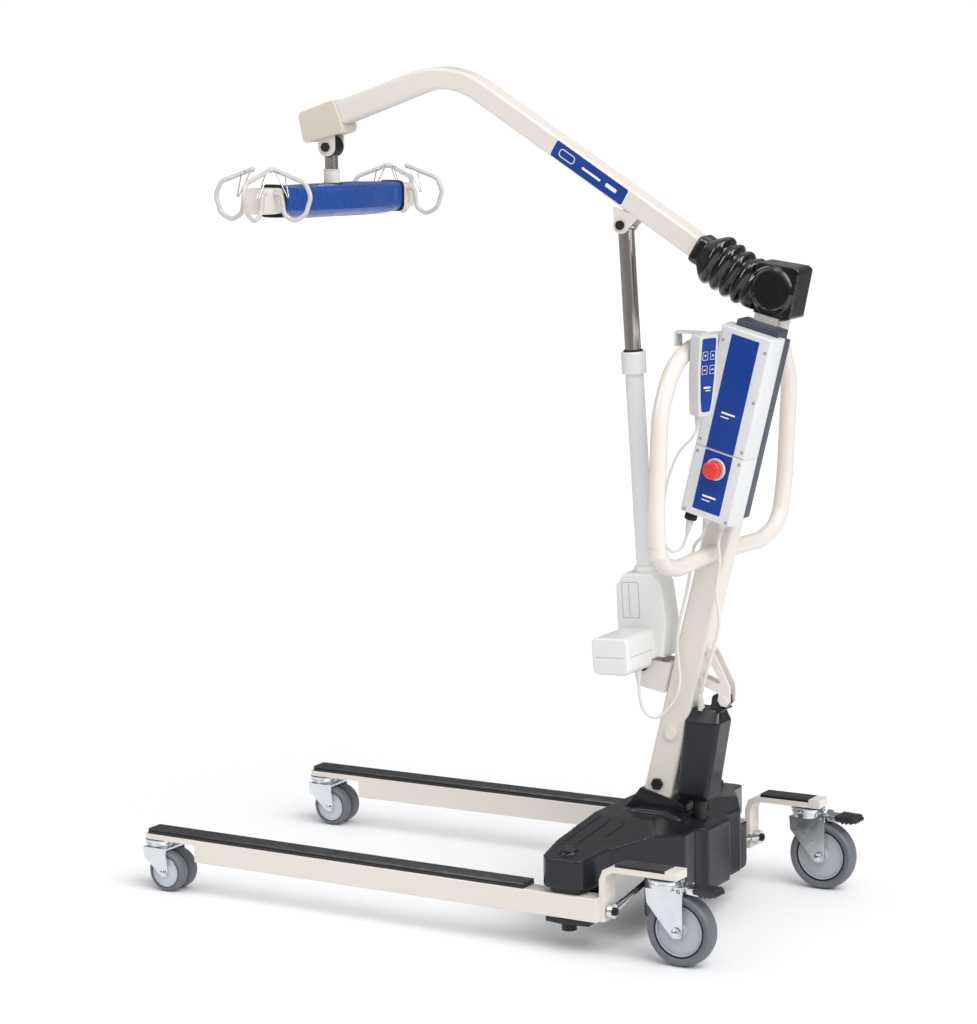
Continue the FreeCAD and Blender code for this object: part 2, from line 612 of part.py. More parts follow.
# ---------------------------------------------------------------- legs and casters
def make_leg():
    px, py = LEG_PIVOT
    x0, x1 = px - 20, px + 20
    tube = box(x0, x1, -987, -149, LEG_Z0, LEG_Z1)
    tube = soften(tube, 3, lambda e: along(e, V(0, 1, 0)))
    hollow = box(x0 + 2.5, x1 - 2.5, -984, -151, LEG_Z0 + 2.5, LEG_Z1 - 2.5)
    tube = tube.cut(hollow)
    plate = box(x0 + 1, x1 - 1, -1100, -980, 93, LEG_Z1)
    plate = soften(plate, 10, lambda e: along(e, V(0, 0, 1)) and e.CenterOfMass.y < -1090)
    # bent flat bar up and back over the rear caster
    g0, g1 = 277.0 - 19.0, 277.0 + 19.0
    yz = [(-149, LEG_Z0), (-149, 134), (-142, 152), (-126, 160), (0, 160), (0, 150), (-122, 150),
          (-134, 144), (-139, 130), (-139, LEG_Z0)]
    goose = prism_x(yz, g0, g1)
    cap = box(g0, g1, -22, 0, 159, 165)
    sleeve = Part.makeCylinder(13, LEG_Z1 - LEG_Z0, V(px, py, LEG_Z0), V(0, 0, 1))
    stud = Part.makeCylinder(5.0, 18, V(283 - 1.2, -140, STUD_Z), V(0, 1, 0))
    boss = Part.makeCylinder(9.0, 12, V(px, FRONT_STEM[1], 84.5), V(0, 0, 1))
    rear_boss = Part.makeCylinder(9.0, 6, V(REAR_STEM[0], REAR_STEM[1], 146.5), V(0, 0, 1))
    body = fuse([tube, plate, goose, cap, sleeve, stud])
    body = body.cut(Part.makeCylinder(8.06, 80, V(px, py, 40), V(0, 0, 1)))
    holes = [Part.makeCylinder(6.06, 40, V(px, FRONT_STEM[1], 80), V(0, 0, 1)),
             Part.makeCylinder(6.06, 20, V(REAR_STEM[0], REAR_STEM[1], 148), V(0, 0, 1))]
    return leg_axes(cut(body, holes))


def make_strips():
    px = LEG_PIVOT[0]

    def strip(cx, y0, y1, z0, h):
        w = 19.0
        s = [(-w, z0), (w, z0), (w, z0 + h * 0.45), (w - 1.5, z0 + h * 0.55), (w, z0 + h * 0.65),
             (w - 2, z0 + h)]
        s += [(10.0, z0 + h), (9.0, z0 + h - 1.5), (8.0, z0 + h), (1.0, z0 + h), (0.0, z0 + h - 1.5)]
        s += [(-1.0, z0 + h), (-8.0, z0 + h), (-9.0, z0 + h - 1.5), (-10.0, z0 + h)]
        s += [(-w + 2, z0 + h), (-w, z0 + h * 0.65), (-w + 1.5, z0 + h * 0.55), (-w, z0 + h * 0.45)]
        return prism([V(cx + a, y0, z) for a, z in s], V(0, y1 - y0, 0))
    group = [strip(px, -1090, -292, LEG_Z1, STRIP_T), strip(277.0, -118, -22, 160, 6.0)]
    return leg_axes(Part.makeCompound(group))


def make_rear_fork():
    x, y = REAR_STEM
    parts = [Part.makeCylinder(29, 10, V(x, y, 132), V(0, 0, 1)),
             Part.makeCylinder(31, 4, V(x, y, 144), V(0, 0, 1)),
             Part.makeCylinder(24, 14, V(x, y, 131), V(0, 0, 1)),
             Part.makeCylinder(6.0, 18, V(x, y, 140), V(0, 0, 1)),
             box(x - 23, x + 23, y - 26, y + 30, 128, 133)]
    wy = y + REAR_TRAIL
    for s in (1, -1):
        x0, x1 = (x + 20, x + 23) if s > 0 else (x - 23, x - 20)
        yz = [(y - 28, 133), (y + 26, 133), (y + 29, 141), (y + 41, 141), (y + 42, 128), (wy + 12, 66),
              (wy + 9, 54), (wy - 4, 51), (wy - 12, 57), (y - 26, 108)]
        parts.append(prism_x(yz, x0, x1))
    parts.append(xcyl(wy, REAR_R, 6.0, x - 24.5, x + 24.5))
    parts.append(xcyl(wy, REAR_R, 9.0, x + 23, x + 26))
    parts.append(xcyl(wy, REAR_R, 9.0, x - 26, x - 23))
    body = fuse(parts)
    return leg_axes(body.cut(xcyl(y + 35, 134, 4.0, x - 40, x + 40)))


def make_pedal():
    x, y = REAR_STEM
    h = y + 35
    yz = [(h - 4, 137), (h + 2, 139), (h + 40, 142), (h + 63, 138), (h + 64, 134), (h + 46, 123),
          (h + 30, 130), (h - 3, 130.5)]
    pad = prism_x(yz, x - 19, x + 19)
    pad = soften(pad, 3, lambda e: along(e, V(0, 0, 1), 0.2) and e.CenterOfMass.y > h + 55)
    pin = xcyl(h, 134, 3.94, x - 23, x + 23)
    return leg_axes(pad.fuse(pin).removeSplitter())


def make_rear_wheel():
    c = V(REAR_STEM[0], REAR_STEM[1] + REAR_TRAIL, REAR_R)
    w = REAR_W / 2
    tyre = turn_x([(46.5, -13), (52, -w), (57, -w), (60.5, -12), (62.2, -6), (62.5, 0), (62.2, 6),
                   (60.5, 12), (57, w), (52, w), (46.5, 13)], c)
    core = turn_x([(6.06, -18), (14, -18), (15, -11), (41, -10), (42, -13), (46.5, -13), (46.5, 13),
                   (42, 13), (41, 10), (15, 11), (14, 18), (6.06, 18)], c)
    return leg_axes(tyre), leg_axes(core)


def make_front_fork():
    x, y = FRONT_STEM
    parts = [Part.makeCylinder(26, 6, V(x, y, 80), V(0, 0, 1)),
             Part.makeCylinder(28, 3.5, V(x, y, 88.5), V(0, 0, 1)),
             Part.makeCylinder(20, 10, V(x, y, 80), V(0, 0, 1)),
             Part.makeCylinder(6.0, 20, V(x, y, 80), V(0, 0, 1)),
             box(x - 31, x + 31, y - 18, y + 32, 77.5, 81)]
    wy = y + FRONT_TRAIL
    for s in (1, -1):
        x0, x1 = (x + 28, x + 31) if s > 0 else (x - 31, x - 28)
        yz = [(y - 18, 81), (y + 32, 81), (y + 32, 74), (wy + 9, 40), (wy + 5, 30), (wy - 5, 29),
              (wy - 11, 34), (y - 16, 62)]
        parts.append(prism_x(yz, x0, x1))
    parts.append(xcyl(wy, FRONT_R, 5.0, x - 33, x + 33))
    return leg_axes(fuse(parts))


def make_front_wheels():
    c = V(FRONT_STEM[0], FRONT_STEM[1] + FRONT_TRAIL, FRONT_R)
    half = [(5.06, 26.5), (11, 26.5), (12, 24), (27, 23), (28, 26), (33, 26), (36.5, 23), (37.5, 15),
            (36.5, 7), (33, 4.5), (20, 4), (12, 3.0)]
    outline = half + [(r, -x) for r, x in reversed(half)]
    return leg_axes(turn_x(outline, c))


# ---------------------------------------------------------------- leg motor and linkage
PUSH_Y, HEAD_Z, HEAD_X = -108.0, 122.0, 38.0   # cross-head pins
STUD_Z = 78.0            # the stud on each leg that its tie rod pulls
GLAND, GLAND_DIR = V(12, -98, 376), V(0.34, 0.10, 0.935).normalize()   # leg motor's cable gland


def make_hanger():
    """Bent bar bracket behind the mast that carries the leg motor's top pin."""
    out = []
    for s in (1, -1):
        x0, x1 = (9.0, 14.0) if s > 0 else (-14.0, -9.0)
        yz = [(-88, 492), (-76, 486), (-43, 424), (-43, 398), (-50, 388), (-60, 389), (-66, 398),
              (-64, 410), (-100, 424), (-100, 438), (-66, 427), (-60, 430), (-86, 474)]
        p = prism_x(yz, x0, x1)
        out.append(p.cut(mast_box(-60, 60, -300, 100, -80, MAST_D / 2)))
    pin = xcyl(-54.5, 399.0, 4.94, -14, 14)
    head = xcyl(-54.5, 399.0, 8.0, 14, 17)
    tie = prism_x([(-88, 492), (-76, 486), (-80, 478), (-92, 484)], -14, 14)
    tie = tie.cut(mast_box(-60, 60, -300, 100, -80, MAST_D / 2))
    body = fuse(out + [tie, pin, head])
    return max(body.Solids, key=lambda s: s.Volume)


def make_shroud():
    """Black cover of the leg motor with its top clevis."""
    low = [(-142, 223), (-80, 223)]
    high = [(-126, 362), (-57, 356)]
    top = [(-118, 383), (-62, 381)]

    def section(y0, y1, z, hx, k):
        c = 6.0 * k
        pts = [(hx, y0 + c), (hx, y1 - c), (hx - c, y1), (-hx + c, y1), (-hx, y1 - c), (-hx, y0 + c),
               (-hx + c, y0), (hx - c, y0)]
        w = [V(x, y, z) for x, y in pts]
        return Part.makePolygon(w + [w[0]])
    levels = [(low[0][0] + 6, low[1][0] - 6, 215, 20, 0.8), (low[0][0], low[1][0], 226, 28, 1),
              (high[0][0], high[1][0], 358, 29, 1), (top[0][0], top[1][0], 382, 16, 0.8)]
    body = Part.makeLoft([section(*v) for v in levels], True, True)
    body = body.cut(Part.makeCylinder(12.06, 130, V(0, PUSH_Y, 200), V(0, 0, 1)))
    body = body.cut(mast_box(-21.5, 21.5, -400, 0, -60, MAST_D / 2 + 0.5))
    clevis = prism_x([(-84, 380), (-80, 404), (-66, 412), (-48, 408), (-46, 394), (-58, 380)], -8.7, 8.7)
    clevis = clevis.cut(xcyl(-54.5, 399.0, 5.0, -30, 30))
    neck = prism_x([(-66, 380.5), (-53, 380.5), (-53, 385), (-66, 385)], -20, 20)
    gland = cyl(GLAND, GLAND + GLAND_DIR * 16, 5.0)
    return fuse([body, clevis, neck, gland])


def make_push_rod():
    r = Part.makeCylinder(12.0, 130, V(0, PUSH_Y, HEAD_Z - 4), V(0, 0, 1))
    head = box(-HEAD_X - 12, HEAD_X + 12, PUSH_Y - 14, PUSH_Y + 10, HEAD_Z - 11, HEAD_Z + 6)
    head = soften(head, 4, lambda e: along(e, V(0, 1, 0)))
    pins = [Part.makeCylinder(5.0, 20, V(s * HEAD_X, PUSH_Y - 34, HEAD_Z), V(0, 1, 0)) for s in (1, -1)]
    caps = [Part.makeCylinder(8.0, 3, V(s * HEAD_X, PUSH_Y - 36, HEAD_Z), V(0, 1, 0)) for s in (1, -1)]
    return fuse([r, head] + pins + caps)


def make_tie_rod():
    """Tie rod from the cross-head pin to the stud on the left leg."""
    y0, y1 = PUSH_Y - 32.0, PUSH_Y - 15.0
    yc = (y0 + y1) / 2
    p, q = V(HEAD_X, yc, HEAD_Z), V(283.0, yc, STUD_Z)
    d = (q - p).normalize()
    eye_in = Part.makeCylinder(10.4, 14, V(p.x, yc - 7, p.z), V(0, 1, 0))
    eye_out = Part.makeCylinder(12.5, 9, V(q.x, yc - 4.5, q.z), V(0, 1, 0))
    shank = cyl(p + d * 8, q - d * 10, 5.0)
    nut = cyl(q - d * 42, q - d * 12, 6.3)
    body = fuse([eye_in, eye_out, shank, nut])
    body = body.cut(Part.makeCylinder(5.06, 40, V(p.x, yc - 20, p.z), V(0, 1, 0)))
    return body.cut(Part.makeCylinder(7.2, 40, V(q.x, yc - 20, q.z), V(0, 1, 0)))


# ---------------------------------------------------------------- cradle (spreader bar)
def cradle(shape):
    """Place a shape built with the bar along X and the swivel bolt at the origin."""
    s = shape.copy()
    s.rotate(V(0, 0, -CRADLE_DROP), V(0, 1, 0), -CRADLE_TILT)
    s.rotate(V(0, 0, 0), V(0, 0, 1), CRADLE_YAW)
    s.translate(SWIVEL)
    return s


def make_swivel():
    block = Part.makeCylinder(18.5, 25.0, V(-12.5, 0, 0), V(1, 0, 0))
    stem = Part.makeCylinder(12.0, 30, V(0, 0, -40), V(0, 0, 1))
    post = Part.makeCylinder(7.0, 30, V(0, 0, -66), V(0, 0, 1))
    body = fuse([block, stem, post])
    body.translate(SWIVEL)
    return body.cut(xcyl(SWIVEL.y, SWIVEL.z, 7.0, -40, 40))


def upright(shape):
    """Undo the bar's tilt in advance, for what has to stand plumb on it."""
    s = shape.copy()
    s.rotate(V(0, 0, -CRADLE_DROP), V(0, 1, 0), CRADLE_TILT)
    return s


def make_bar():
    z = -CRADLE_DROP
    outer = box(-BAR_HALF, BAR_HALF, -BAR_W / 2, BAR_W / 2, z - BAR_H / 2, z + BAR_H / 2)
    outer = soften(outer, 9, lambda e: along(e, EX))
    inner = box(-BAR_HALF + 3, BAR_HALF - 3, -BAR_W / 2 + 3, BAR_W / 2 - 3, z - BAR_H / 2 + 3,
                z + BAR_H / 2 - 3)
    sleeve = upright(Part.makeCylinder(14.5, 32, V(0, 0, -72.5), V(0, 0, 1)))
    body = fuse([outer.cut(inner), sleeve])
    return cradle(body.cut(upright(Part.makeCylinder(7.06, 70, V(0, 0, -100), V(0, 0, 1)))))


HOOK_PATH = ((20.0, 14.0), (37.0, 12.0), (42.0, -22.0), (62.0, -34.5), (85.0, -22.0), (95.5, 10.0),
             (84.0, 33.0), (22.0, 55.0))
HOOK_END = ((-5.0, 14.0), (6.5, 12.0), (10.0, -22.0), (32.0, -34.5), (56.0, -22.0), (73.0, 10.0),
            (64.0, 32.0), (-26.0, 55.0))
HOOK_RADII = (8, 15, 16, 18, 22, 16)


def hook_frames():
    """Base point, outward direction and outline of each of the six hooks."""
    out = []
    for sx in (1, -1):
        for sy in (1, -1):
            out.append((V(sx * HOOK_S, 0, -CRADLE_DROP), V(0, sy, 0), HOOK_PATH))
        out.append((V(sx * (BAR_HALF - 1), sx * END_HOOK_Y, -CRADLE_DROP), V(sx, 0, 0), HOOK_END))
    return out


def make_hooks():
    bar_core = box(-BAR_HALF, BAR_HALF, -BAR_W / 2, BAR_W / 2, -CRADLE_DROP - BAR_H / 2,
                   -CRADLE_DROP + BAR_H / 2)
    out = []
    for base, d, path in hook_frames():
        pts = [base + d * a + V(0, 0, b) for a, b in path]
        h = rod(pts, HOOK_RADII, HOOK_R)
        tip = Part.makeSphere(HOOK_R + 1.2, pts[-1])
        h = h.cut(bar_core).fuse(tip)
        out.append(max(h.Solids, key=lambda s: s.Volume))
    return cradle(Part.makeCompound(out))


GATE_BACK, GATE_ARM, GATE_SIDE = 12.0, 7.0, 5.4   # pivot from the tip, wire bends, half spread


def make_gate(base, d, path):
    """Sprung wire gate: pivots in the hook's top run and closes against its inner leg."""
    side = V(0, 0, 1).cross(d)
    (ua, uz), (ta, tz) = path[-2], path[-1]
    run = (d * (ua - ta) + V(0, 0, uz - tz)).normalize()
    pivot = base + d * ta + V(0, 0, tz) + run * GATE_BACK
    low = base + d * (path[1][0] + 13.0) + V(0, 0, 8.0)
    parts = [cyl(low + side * 3.2, low - side * 3.2, 1.2)]
    for k in (1, -1):
        off = side * (k * GATE_SIDE)
        bend = pivot + off + run * (k * GATE_ARM)
        parts.append(cyl(pivot + side * (k * 4.3), pivot + side * (k * 6.6), 1.4))
        parts.append(cyl(pivot + off, bend, 1.0))
        parts.append(Part.makeSphere(1.0, bend))
        parts.append(cyl(bend, low + side * (k * 2.4), 1.0))
    return cradle(fuse(parts))


def make_pad():
    """Padded sleeve round the middle of the spreader bar: plain closed solid."""
    z = -CRADLE_DROP
    outer = box(-238, 226, -27, 27, z - 33, z + 28)
    outer = soften(outer, 11, lambda e: along(e, EX))
    inner = box(-300, 300, -BAR_W / 2, BAR_W / 2, z - BAR_H / 2, z + BAR_H / 2)
    inner = soften(inner, 9, lambda e: along(e, EX))
    pad = outer.cut(inner)
    return cradle(pad.cut(upright(Part.makeCylinder(16.5, 60, V(0, 0, -72), V(0, 0, 1)))))


# ---------------------------------------------------------------- cords
def cord(name, pts, r):
    """Tube of straight runs and tangent arcs; prints every bend radius."""
    radii = []
    for i in range(1, len(pts) - 1):
        a, b = pts[i - 1] - pts[i], pts[i + 1] - pts[i]
        turn = math.pi - a.getAngle(b)
        radii.append(0.45 * min(a.Length, b.Length) / math.tan(turn / 2))
    wire = path_wire(pts, radii)
    tube = pipe(wire, r)
    section = math.pi * r * r * wire.Length
    print(name, "length %.0f" % wire.Length, "radii", [round(v) for v in radii],
          "least/dia %.1f" % (min(radii) / (2 * r)), "volume ratio %.4f" % (tube.Volume / section))
    return tube


def plug_end(k):
    x, t, _, _, _, total = PLUGS[k]
    return on_mast(x, BOX_S0 - total, t)


def make_pendant_cord():
    top = pendant_axes(Part.Vertex(PEND_X, PEND_Y0 + 6, PEND_Z0 - 12)).Point
    low = pendant_axes(Part.Vertex(PEND_X, PEND_Y0 + 6, PEND_Z0 - 34)).Point
    e = plug_end(0)
    pts = [top, low, V(151, -67, 858), V(140, -91, 816), V(128, -107, 778), V(118, -117, 738),
           V(110, -120.5, 706), V(103.7, -120, 682), V(94.4, -114.7, 670), V(81.3, -104.6, 670),
           e - AL * 17.5, e]
    return cord("pendant_cord", pts, PENDANT_CORD_R)


def make_lift_cord():
    s, e = plug_end(1), act(10.5, -LIFT_CORD_GAP, 69)
    pts = [s, s - AL * 15.5, V(56.5, -87.3, 681.8), V(49, -97, 655), V(38, -107, 620), V(32, -118, 580),
           V(31, -130, 540), V(31, -136, 503), V(32, -133, 468), V(35, -127.5, 434), V(39, -132, 402),
           V(45, -149, 379), V(50, -160, 367), V(58, -174, 366), V(64, -186, 378), V(67.5, -191, 402),
           e - AX * 22, e]
    return cord("lift_motor_cord", pts, LIFT_CORD_R)


def make_leg_cord():
    s, e = plug_end(2), GLAND + GLAND_DIR * 16
    pts = [s, s - AL * 17, V(55, -39.5, 655), V(48, -47, 626), V(43, -54.5, 596), V(39, -48.5, 558),
           V(36.5, -51, 531), V(33, -64, 495), V(31, -74, 461), V(28, -86, 428), e + GLAND_DIR * 15, e]
    return cord("leg_motor_cord", pts, LEG_CORD_R)


def main():
    export("mast", make_mast())
    export("mast_socket", make_socket())
    export("base_frame", make_base_frame())
    export("base_cover", make_cover())
    export("frame_bolts", make_bolts())
    export("push_handles", make_handles())
    export("box_mount_plate", make_plate())
    export("control_box", make_control_box())
    export("estop_knob", make_estop())
    export("battery_pack", make_battery())
    export("cable_plugs", make_plugs())
    export("pendant_case", make_pendant())
    export("pendant_holder", make_pendant_holder())
    for name, place in zip(("raise", "lower", "open", "close"), BUTTONS):
        export("button_" + name, make_button(*place))
    export("boom_tube", make_boom())
    export("boom_end_cap", make_end_cap())
    export("boom_bolts", make_boom_bolts())
    export("boom_bellows", make_bellows())
    export("boot_housing", make_boot())
    export("lift_motor_housing", make_lift_motor())
    export("lift_outer_tube", make_lift_tube())
    export("piston_rod", make_piston())
    export_pair("leg", make_leg())
    export_pair("leg_strips", make_strips())
    export_pair("rear_fork", make_rear_fork())
    export_pair("rear_pedal", make_pedal())
    tyre, core = make_rear_wheel()
    export_pair("rear_tyre", tyre)
    export_pair("rear_wheel_core", core)
    export_pair("front_fork", make_front_fork())
    export_pair("front_wheels", make_front_wheels())
    export("pendant_cord", make_pendant_cord())
    export("lift_motor_cord", make_lift_cord())
    export("leg_motor_cord", make_leg_cord())
    export("actuator_hanger", make_hanger())
    export("leg_motor_shroud", make_shroud())
    export("leg_push_rod", make_push_rod())
    export_pair("tie_rod", make_tie_rod())
    export("swivel_joint", make_swivel())
    export("cradle_bar", make_bar())
    export("cradle_pad", make_pad())
    export("sling_hooks", make_hooks())
    for k, f in enumerate(hook_frames()):
        export("gate_%d" % (k + 1), make_gate(*f))


main()
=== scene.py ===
import math
import bmesh
import bpy
from mathutils import Matrix, Vector
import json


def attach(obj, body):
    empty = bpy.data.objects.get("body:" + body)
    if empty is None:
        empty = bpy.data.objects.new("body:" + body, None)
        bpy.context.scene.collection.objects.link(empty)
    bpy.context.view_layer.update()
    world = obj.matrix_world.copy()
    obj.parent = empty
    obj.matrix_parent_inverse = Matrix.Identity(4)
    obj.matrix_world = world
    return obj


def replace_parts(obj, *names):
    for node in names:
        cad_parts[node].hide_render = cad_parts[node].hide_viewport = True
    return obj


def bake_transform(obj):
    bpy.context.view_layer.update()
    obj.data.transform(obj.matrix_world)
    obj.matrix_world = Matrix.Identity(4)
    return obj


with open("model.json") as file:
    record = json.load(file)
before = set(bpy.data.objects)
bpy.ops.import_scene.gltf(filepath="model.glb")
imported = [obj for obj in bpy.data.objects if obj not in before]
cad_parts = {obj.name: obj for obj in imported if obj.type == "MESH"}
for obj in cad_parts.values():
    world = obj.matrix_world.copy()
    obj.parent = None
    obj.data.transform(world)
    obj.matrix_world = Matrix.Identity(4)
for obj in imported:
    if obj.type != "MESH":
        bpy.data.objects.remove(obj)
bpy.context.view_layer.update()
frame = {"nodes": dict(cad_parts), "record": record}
NODES = frame["nodes"]
SLOT_OF = {s["node"]: s["material_slot"] for s in frame["record"]["subparts"]}

# ---------------------------------------------------------------- shared measures (mm, as in the part)
Y_SHIFT = 503.45
RAKE = math.radians(14.3)
AL = Vector((0, math.sin(RAKE), math.cos(RAKE)))      # up the mast
NY = Vector((0, math.cos(RAKE), -math.sin(RAKE)))     # square to it, towards the rear
EX, EY, EZ = Vector((1, 0, 0)), Vector((0, 1, 0)), Vector((0, 0, 1))
MAST_REF = Vector((0, -92.3, 577.4))
PIVOT = MAST_REF + AL * 560.7
LIFT_FOOT, LIFT_TOP = Vector((0, -203.5, 450.0)), Vector((0, -247.5, 1221.0))
AX = (LIFT_TOP - LIFT_FOOT).normalized()
AXP = Vector((0, AX.z, -AX.y))
SWIVEL = Vector((0, -852.0, 1344.0))
YAW, TILT, DROP = math.radians(5.0), math.radians(2.9), 93.0
TOE, LEG_PIVOT = math.radians(-0.85), Vector((289.0, -212.0, 0))
REAR_STEM, REAR_HUB = Vector((275.9, -30.0, 0)), Vector((275.9, 0.0, 62.5))
FRONT_STEM, FRONT_HUB = Vector((289.0, -1076.0, 0)), Vector((289.0, -1049.0, 37.5))
FACE_X = 87.5                                         # outer face of the control box
SIDES = (("left", 1), ("right", -1))
KEYS = (("raise", -9, 104), ("lower", 9, 104), ("open", -9, 80), ("close", 9, 80))   # name, x, height


def m(p):
    """A point in the part's millimetres, in the frame's metres."""
    return Vector((p[0] / 1000, (p[1] + Y_SHIFT) / 1000, p[2] / 1000))


def on_mast(x, s, t):
    """A point given across, along and behind the mast."""
    return MAST_REF + EX * x + AL * s + NY * t


def on_bar(x, y, z):
    """A point given along, across and above the spreader bar's centre."""
    p = Matrix.Rotation(-TILT, 3, "Y") @ Vector((x, y, z)) + Vector((0, 0, -DROP))
    return Matrix.Rotation(YAW, 3, "Z") @ p + SWIVEL


def on_leg(x, y, z, side=1):
    """A point in the left leg's own axes; side -1 mirrors it to the right leg."""
    p = Matrix.Rotation(TOE, 3, "Z") @ (Vector((x, y, z)) - LEG_PIVOT) + LEG_PIVOT
    return Vector((p.x * side, p.y, p.z))


def act(u, w, x=0.0):
    """A point behind, along and beside the lift actuator's axis, from its foot."""
    return LIFT_FOOT + AX * w + AXP * u + EX * x


def link(name, data):
    """A new object in the scene."""
    obj = bpy.data.objects.new(name, data)
    bpy.context.scene.collection.objects.link(obj)
    return obj


# ---------------------------------------------------------------- camera, light, floor
def make_camera():
    cam = link("camera", bpy.data.cameras.new("camera"))
    cam.data.lens, cam.data.sensor_width = 125.03, 36.0
    cam.data.clip_end = 400
    cam.location = m((5430.1, 2671.6, 1726.7))
    cam.rotation_euler = [math.radians(a) for a in (80.7115, 0.7781, 120.4102)]
    bpy.context.scene.camera = cam


def area_light(name, place, target, size, watts):
    """A rectangular lamp at a place in metres, aimed at a target."""
    lamp = link(name, bpy.data.lights.new(name, "AREA"))
    lamp.data.shape = "RECTANGLE"
    lamp.data.size, lamp.data.size_y = size
    lamp.data.energy = watts
    lamp.location = place
    lamp.rotation_euler = (Vector(target) - Vector(place)).to_track_quat("-Z", "Y").to_euler()
    return lamp


def make_light():
    """Even white surroundings, one broad key, and three narrow lamps that only add highlights."""
    scene = bpy.context.scene
    scene.view_settings.view_transform = "Standard"
    world = bpy.data.worlds.new("studio")
    scene.world = world
    world.use_nodes = True
    background = world.node_tree.nodes["Background"]
    background.inputs["Color"].default_value = (0.985, 0.99, 1.0, 1)
    background.inputs["Strength"].default_value = 0.68
    sun = link("key", bpy.data.lights.new("key", "SUN"))
    sun.data.energy = 2.3
    sun.data.angle = math.radians(50)
    sun.rotation_euler = Vector((0.30, 0.62, 0.74)).to_track_quat("Z", "Y").to_euler()
    for strip in (area_light("strip_left", (2.4, -1.7, 2.5), (0, -0.1, 1.0), (0.26, 1.8), 34),
                  area_light("strip_right", (0.9, 2.9, 2.2), (0, 0.4, 1.1), (0.26, 1.6), 30),
                  area_light("strip_top", (1.3, 0.3, 3.3), (0, 0.0, 1.0), (0.4, 1.4), 16)):
        strip.visible_diffuse = False


def make_dark_wall():
    """Dark studio wall all round that only mirror-like surfaces see, so that gloss has contrast."""
    steps, radius, low, high = 48, 3.6, 0.02, 3.1
    verts, faces = [], []
    for k in range(steps):
        a = 2 * math.pi * k / steps
        verts += [(radius * math.cos(a), radius * math.sin(a), z) for z in (low, high)]
        n = (k + 1) % steps
        faces.append((2 * k, 2 * n, 2 * n + 1, 2 * k + 1))
    mesh = bpy.data.meshes.new("dark_wall")
    mesh.from_pydata(verts, [], faces)
    wall = link("dark_wall", mesh)
    wall.visible_camera = wall.visible_diffuse = wall.visible_shadow = False
    wall.visible_transmission = wall.visible_volume_scatter = False
    mesh.materials.append(finish("flag", (0.20, 0.19, 0.185), 0.9, vary=0.02, grain=40, strength=0.02,
                                 specular=0.1))


def make_floor():
    """A pale floor that reaches past the horizon."""
    mesh, half = bpy.data.meshes.new("floor"), 150
    mesh.from_pydata([(-half, -half, 0), (half, -half, 0), (half, half, 0), (-half, half, 0)], [],
                     [(0, 1, 2, 3)])
    mesh.materials.append(finish("floor", (0.93, 0.93, 0.945), 0.6, vary=0.004, patch=0.7, grain=40,
                                 strength=0.02))
    link("floor", mesh)


make_camera()
make_light()


# ---------------------------------------------------------------- materials
class Nodes:
    """Short ways to add shader nodes to one material."""

    def __init__(self, name):
        self.mat = bpy.data.materials.new(name)
        self.mat.use_nodes = True
        self.tree = self.mat.node_tree
        self.bsdf = self.tree.nodes["Principled BSDF"]
        self.space = self.tree.nodes.new("ShaderNodeTexCoord").outputs["Object"]

    def link(self, a, b):
        self.tree.links.new(a, b)

    def noise(self, scale, detail=3.0, stretch=None):
        n = self.tree.nodes.new("ShaderNodeTexNoise")
        n.inputs["Scale"].default_value = scale
        n.inputs["Detail"].default_value = detail
        if stretch:
            mapping = self.tree.nodes.new("ShaderNodeMapping")
            mapping.inputs["Scale"].default_value = stretch
            self.link(self.space, mapping.inputs["Vector"])
            self.link(mapping.outputs["Vector"], n.inputs["Vector"])
        else:
            self.link(self.space, n.inputs["Vector"])
        return n.outputs["Fac"]

    def cells(self, scale):
        n = self.tree.nodes.new("ShaderNodeTexVoronoi")
        n.inputs["Scale"].default_value = scale
        self.link(self.space, n.inputs["Vector"])
        return n.outputs["Distance"]

    def remap(self, value, lo, hi, out_lo, out_hi):
        n = self.tree.nodes.new("ShaderNodeMapRange")
        for key, v in (("From Min", lo), ("From Max", hi), ("To Min", out_lo), ("To Max", out_hi)):
            n.inputs[key].default_value = v
        self.link(value, n.inputs["Value"])
        return n.outputs["Result"]

    def mix(self, fac, a, b):
        n = self.tree.nodes.new("ShaderNodeMix")
        n.data_type = "RGBA"
        self.link(fac, n.inputs["Factor"])
        for key, colour in (("A", a), ("B", b)):
            socket = [s for s in n.inputs if s.name == key and s.type == "RGBA"][0]
            socket.default_value = (*colour, 1)
        return [s for s in n.outputs if s.type == "RGBA"][0]

    def bump(self, height, strength, distance):
        n = self.tree.nodes.new("ShaderNodeBump")
        n.inputs["Strength"].default_value = strength
        n.inputs["Distance"].default_value = distance
        self.link(height, n.inputs["Height"])
        return n.outputs["Normal"]


def scaled(colour, k):
    return tuple(min(1.0, c * k) for c in colour)


